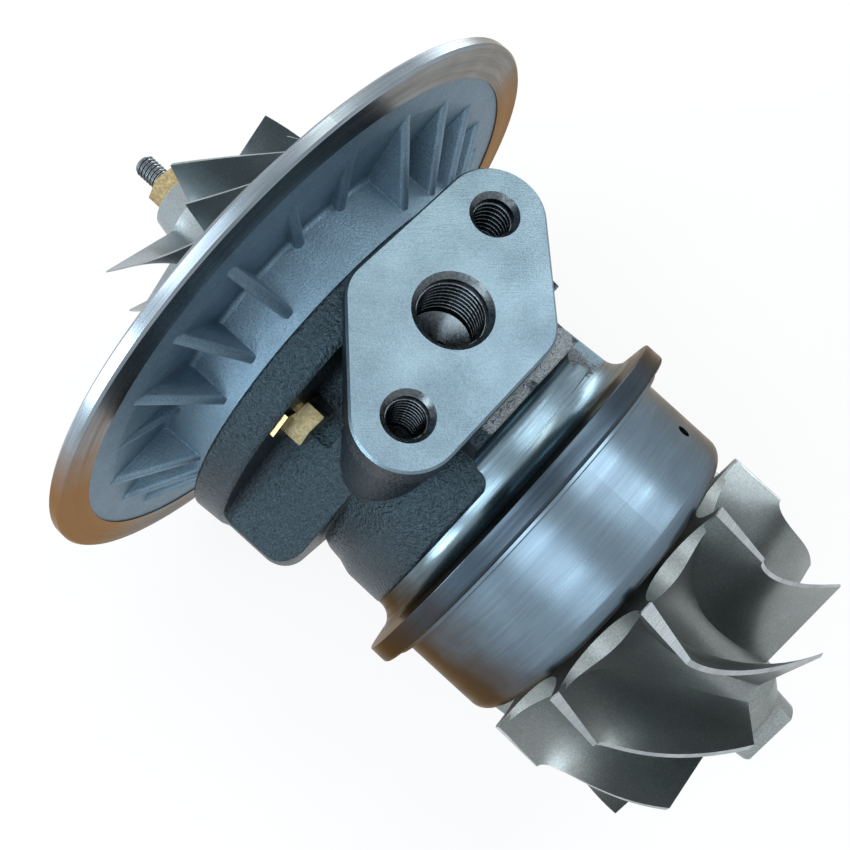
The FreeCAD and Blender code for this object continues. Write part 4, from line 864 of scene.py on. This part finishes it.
@dataclass
class Studio:
    """Pale floor, soft lamps, white surroundings and the camera."""

    floor_z: float = -78.6
    floor_size: float = 4000.0
    floor_glow: float = 0.8
    aim: tuple[float, float, float] = (-20.0, 0.0, 10.0)
    camera_place: tuple[float, float, float] = (-12.1, -78.8, 208.8)
    camera_right: tuple[float, float, float] = (0.737, 0.650, 0.183)
    camera_up: tuple[float, float, float] = (-0.671, 0.675, 0.306)
    image_side: int = 850
    focal_pixels: float = 900.0
    sensor: float = 36.0
    ambient: float = 0.45
    lamps: tuple[Lamp, ...] = (
        Lamp("overhead_softbox", (-190.0, 280.0, 570.0), 260.0, 130.0, 0.6, (1.0, 0.96, 0.86, 1.0)),
        Lamp("flange_window", (45.0, 270.0, 570.0), 110.0, 400.0, 0.9, (0.92, 0.97, 1.0, 1.0)),
        Lamp("left_window", (-90.0, -330.0, 540.0), 460.0, 320.0, 2.1, (0.88, 0.95, 1.0, 1.0)),
        Lamp("low_window", (-190.0, -620.0, 190.0), 300.0, 260.0, 2.8, (0.84, 0.94, 1.0, 1.0)),
        Lamp("far_window", (-260.0, 600.0, 60.0), 460.0, 220.0, 1.8, (0.92, 0.97, 1.0, 1.0)),
    )

    def plain_light(self, nodes: bpy.types.Nodes, links: bpy.types.NodeLinks) -> Socket:
        """Tells whether a ray comes from the camera, a gloss or a glass.

        Args:
            nodes: The node list to add to.
            links: Its links.

        Returns:
            1 for such a ray, otherwise 0.
        """
        path = nodes.new("ShaderNodeLightPath")
        total = path.outputs["Is Camera Ray"]
        for name in ("Is Glossy Ray", "Is Transmission Ray"):
            step = nodes.new("ShaderNodeMath")
            step.operation = "MAXIMUM"
            links.new(total, step.inputs[0])
            links.new(path.outputs[name], step.inputs[1])
            total = step.outputs[0]
        return total

    def surroundings(self) -> None:
        """Makes the world white to look at and softer as a light."""
        world = bpy.data.worlds.new("studio_world")
        world.use_nodes = True
        bpy.context.scene.world = world
        nodes, links = world.node_tree.nodes, world.node_tree.links
        strength = nodes.new("ShaderNodeMapRange")
        links.new(self.plain_light(nodes, links), strength.inputs["Value"])
        strength.inputs["To Min"].default_value = self.ambient
        background = nodes["Background"]
        background.inputs["Color"].default_value = (1.0, 1.0, 1.0, 1.0)
        links.new(strength.outputs["Result"], background.inputs["Strength"])

    def floor(self) -> None:
        """Lays the pale floor, which keeps a light shadow."""
        bpy.ops.object.select_all(action="DESELECT")
        bpy.ops.mesh.primitive_plane_add(size=self.floor_size * MM, location=(0, 0, self.floor_z * MM))
        floor = bpy.context.active_object
        floor.name = "studio_floor"
        sheet = NodeSheet("studio_floor")
        sheet.finish(seen(240, 241, 242), 0.9, 0.0)
        glow = sheet.nodes.new("ShaderNodeEmission")
        share = sheet.calc("MULTIPLY", self.plain_light(sheet.nodes, sheet.links), self.floor_glow)
        mix = sheet.nodes.new("ShaderNodeMixShader")
        sheet.links.new(share, mix.inputs[0])
        sheet.links.new(sheet.shader.outputs["BSDF"], mix.inputs[1])
        sheet.links.new(glow.outputs["Emission"], mix.inputs[2])
        sheet.links.new(mix.outputs[0], sheet.nodes["Material Output"].inputs["Surface"])
        floor.data.materials.append(sheet.material)

    def camera(self) -> None:
        """Puts the camera where the photograph's was."""
        right = Vector(self.camera_right).normalized()
        back = right.cross(Vector(self.camera_up)).normalized()
        up = back.cross(right)
        axes = Matrix((right, up, back)).transposed().to_4x4()
        bpy.ops.object.camera_add()
        camera = bpy.context.active_object
        camera.name = "photo_camera"
        camera.matrix_world = Matrix.Translation(Vector(self.camera_place) * MM) @ axes
        camera.data.sensor_width = self.sensor
        camera.data.lens = self.focal_pixels / self.image_side * self.sensor
        camera.data.clip_start = 0.01
        bpy.context.scene.camera = camera

    def build(self) -> None:
        """Sets the whole studio."""
        bpy.context.scene.view_settings.view_transform = "Standard"
        self.surroundings()
        self.floor()
        for lamp in self.lamps:
            lamp.build(Vector(self.aim))
        self.camera()


def main() -> None:
    """Dresses the cartridge and sets the studio."""
    logging.basicConfig(level=logging.INFO, format="%(name)s: %(message)s")
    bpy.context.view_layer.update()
    paints = Paintbox()
    for piece in BearingHousing().dress(paints):
        LOG.info("%s: %d faces", piece.name, len(piece.data.polygons))
    Backplate().dress(paints)
    BladedWheel("turbine_wheel", CAST_NICKEL, CONTOUR_METAL, (43.5, 43.3), (65.1, 38.6)).dress(paints)
    BladedWheel("compressor_wheel", WHEEL_ALUMINIUM, CONTOUR_METAL, (-82.4, 46.9),
                (-107.2, 31.0)).dress(paints)
    LOG.info("%s is wound", ShaftEnd().dress(paints).name)
    PlainPieces().dress(paints)
    Studio().build()


if __name__ == "__main__":
    main()
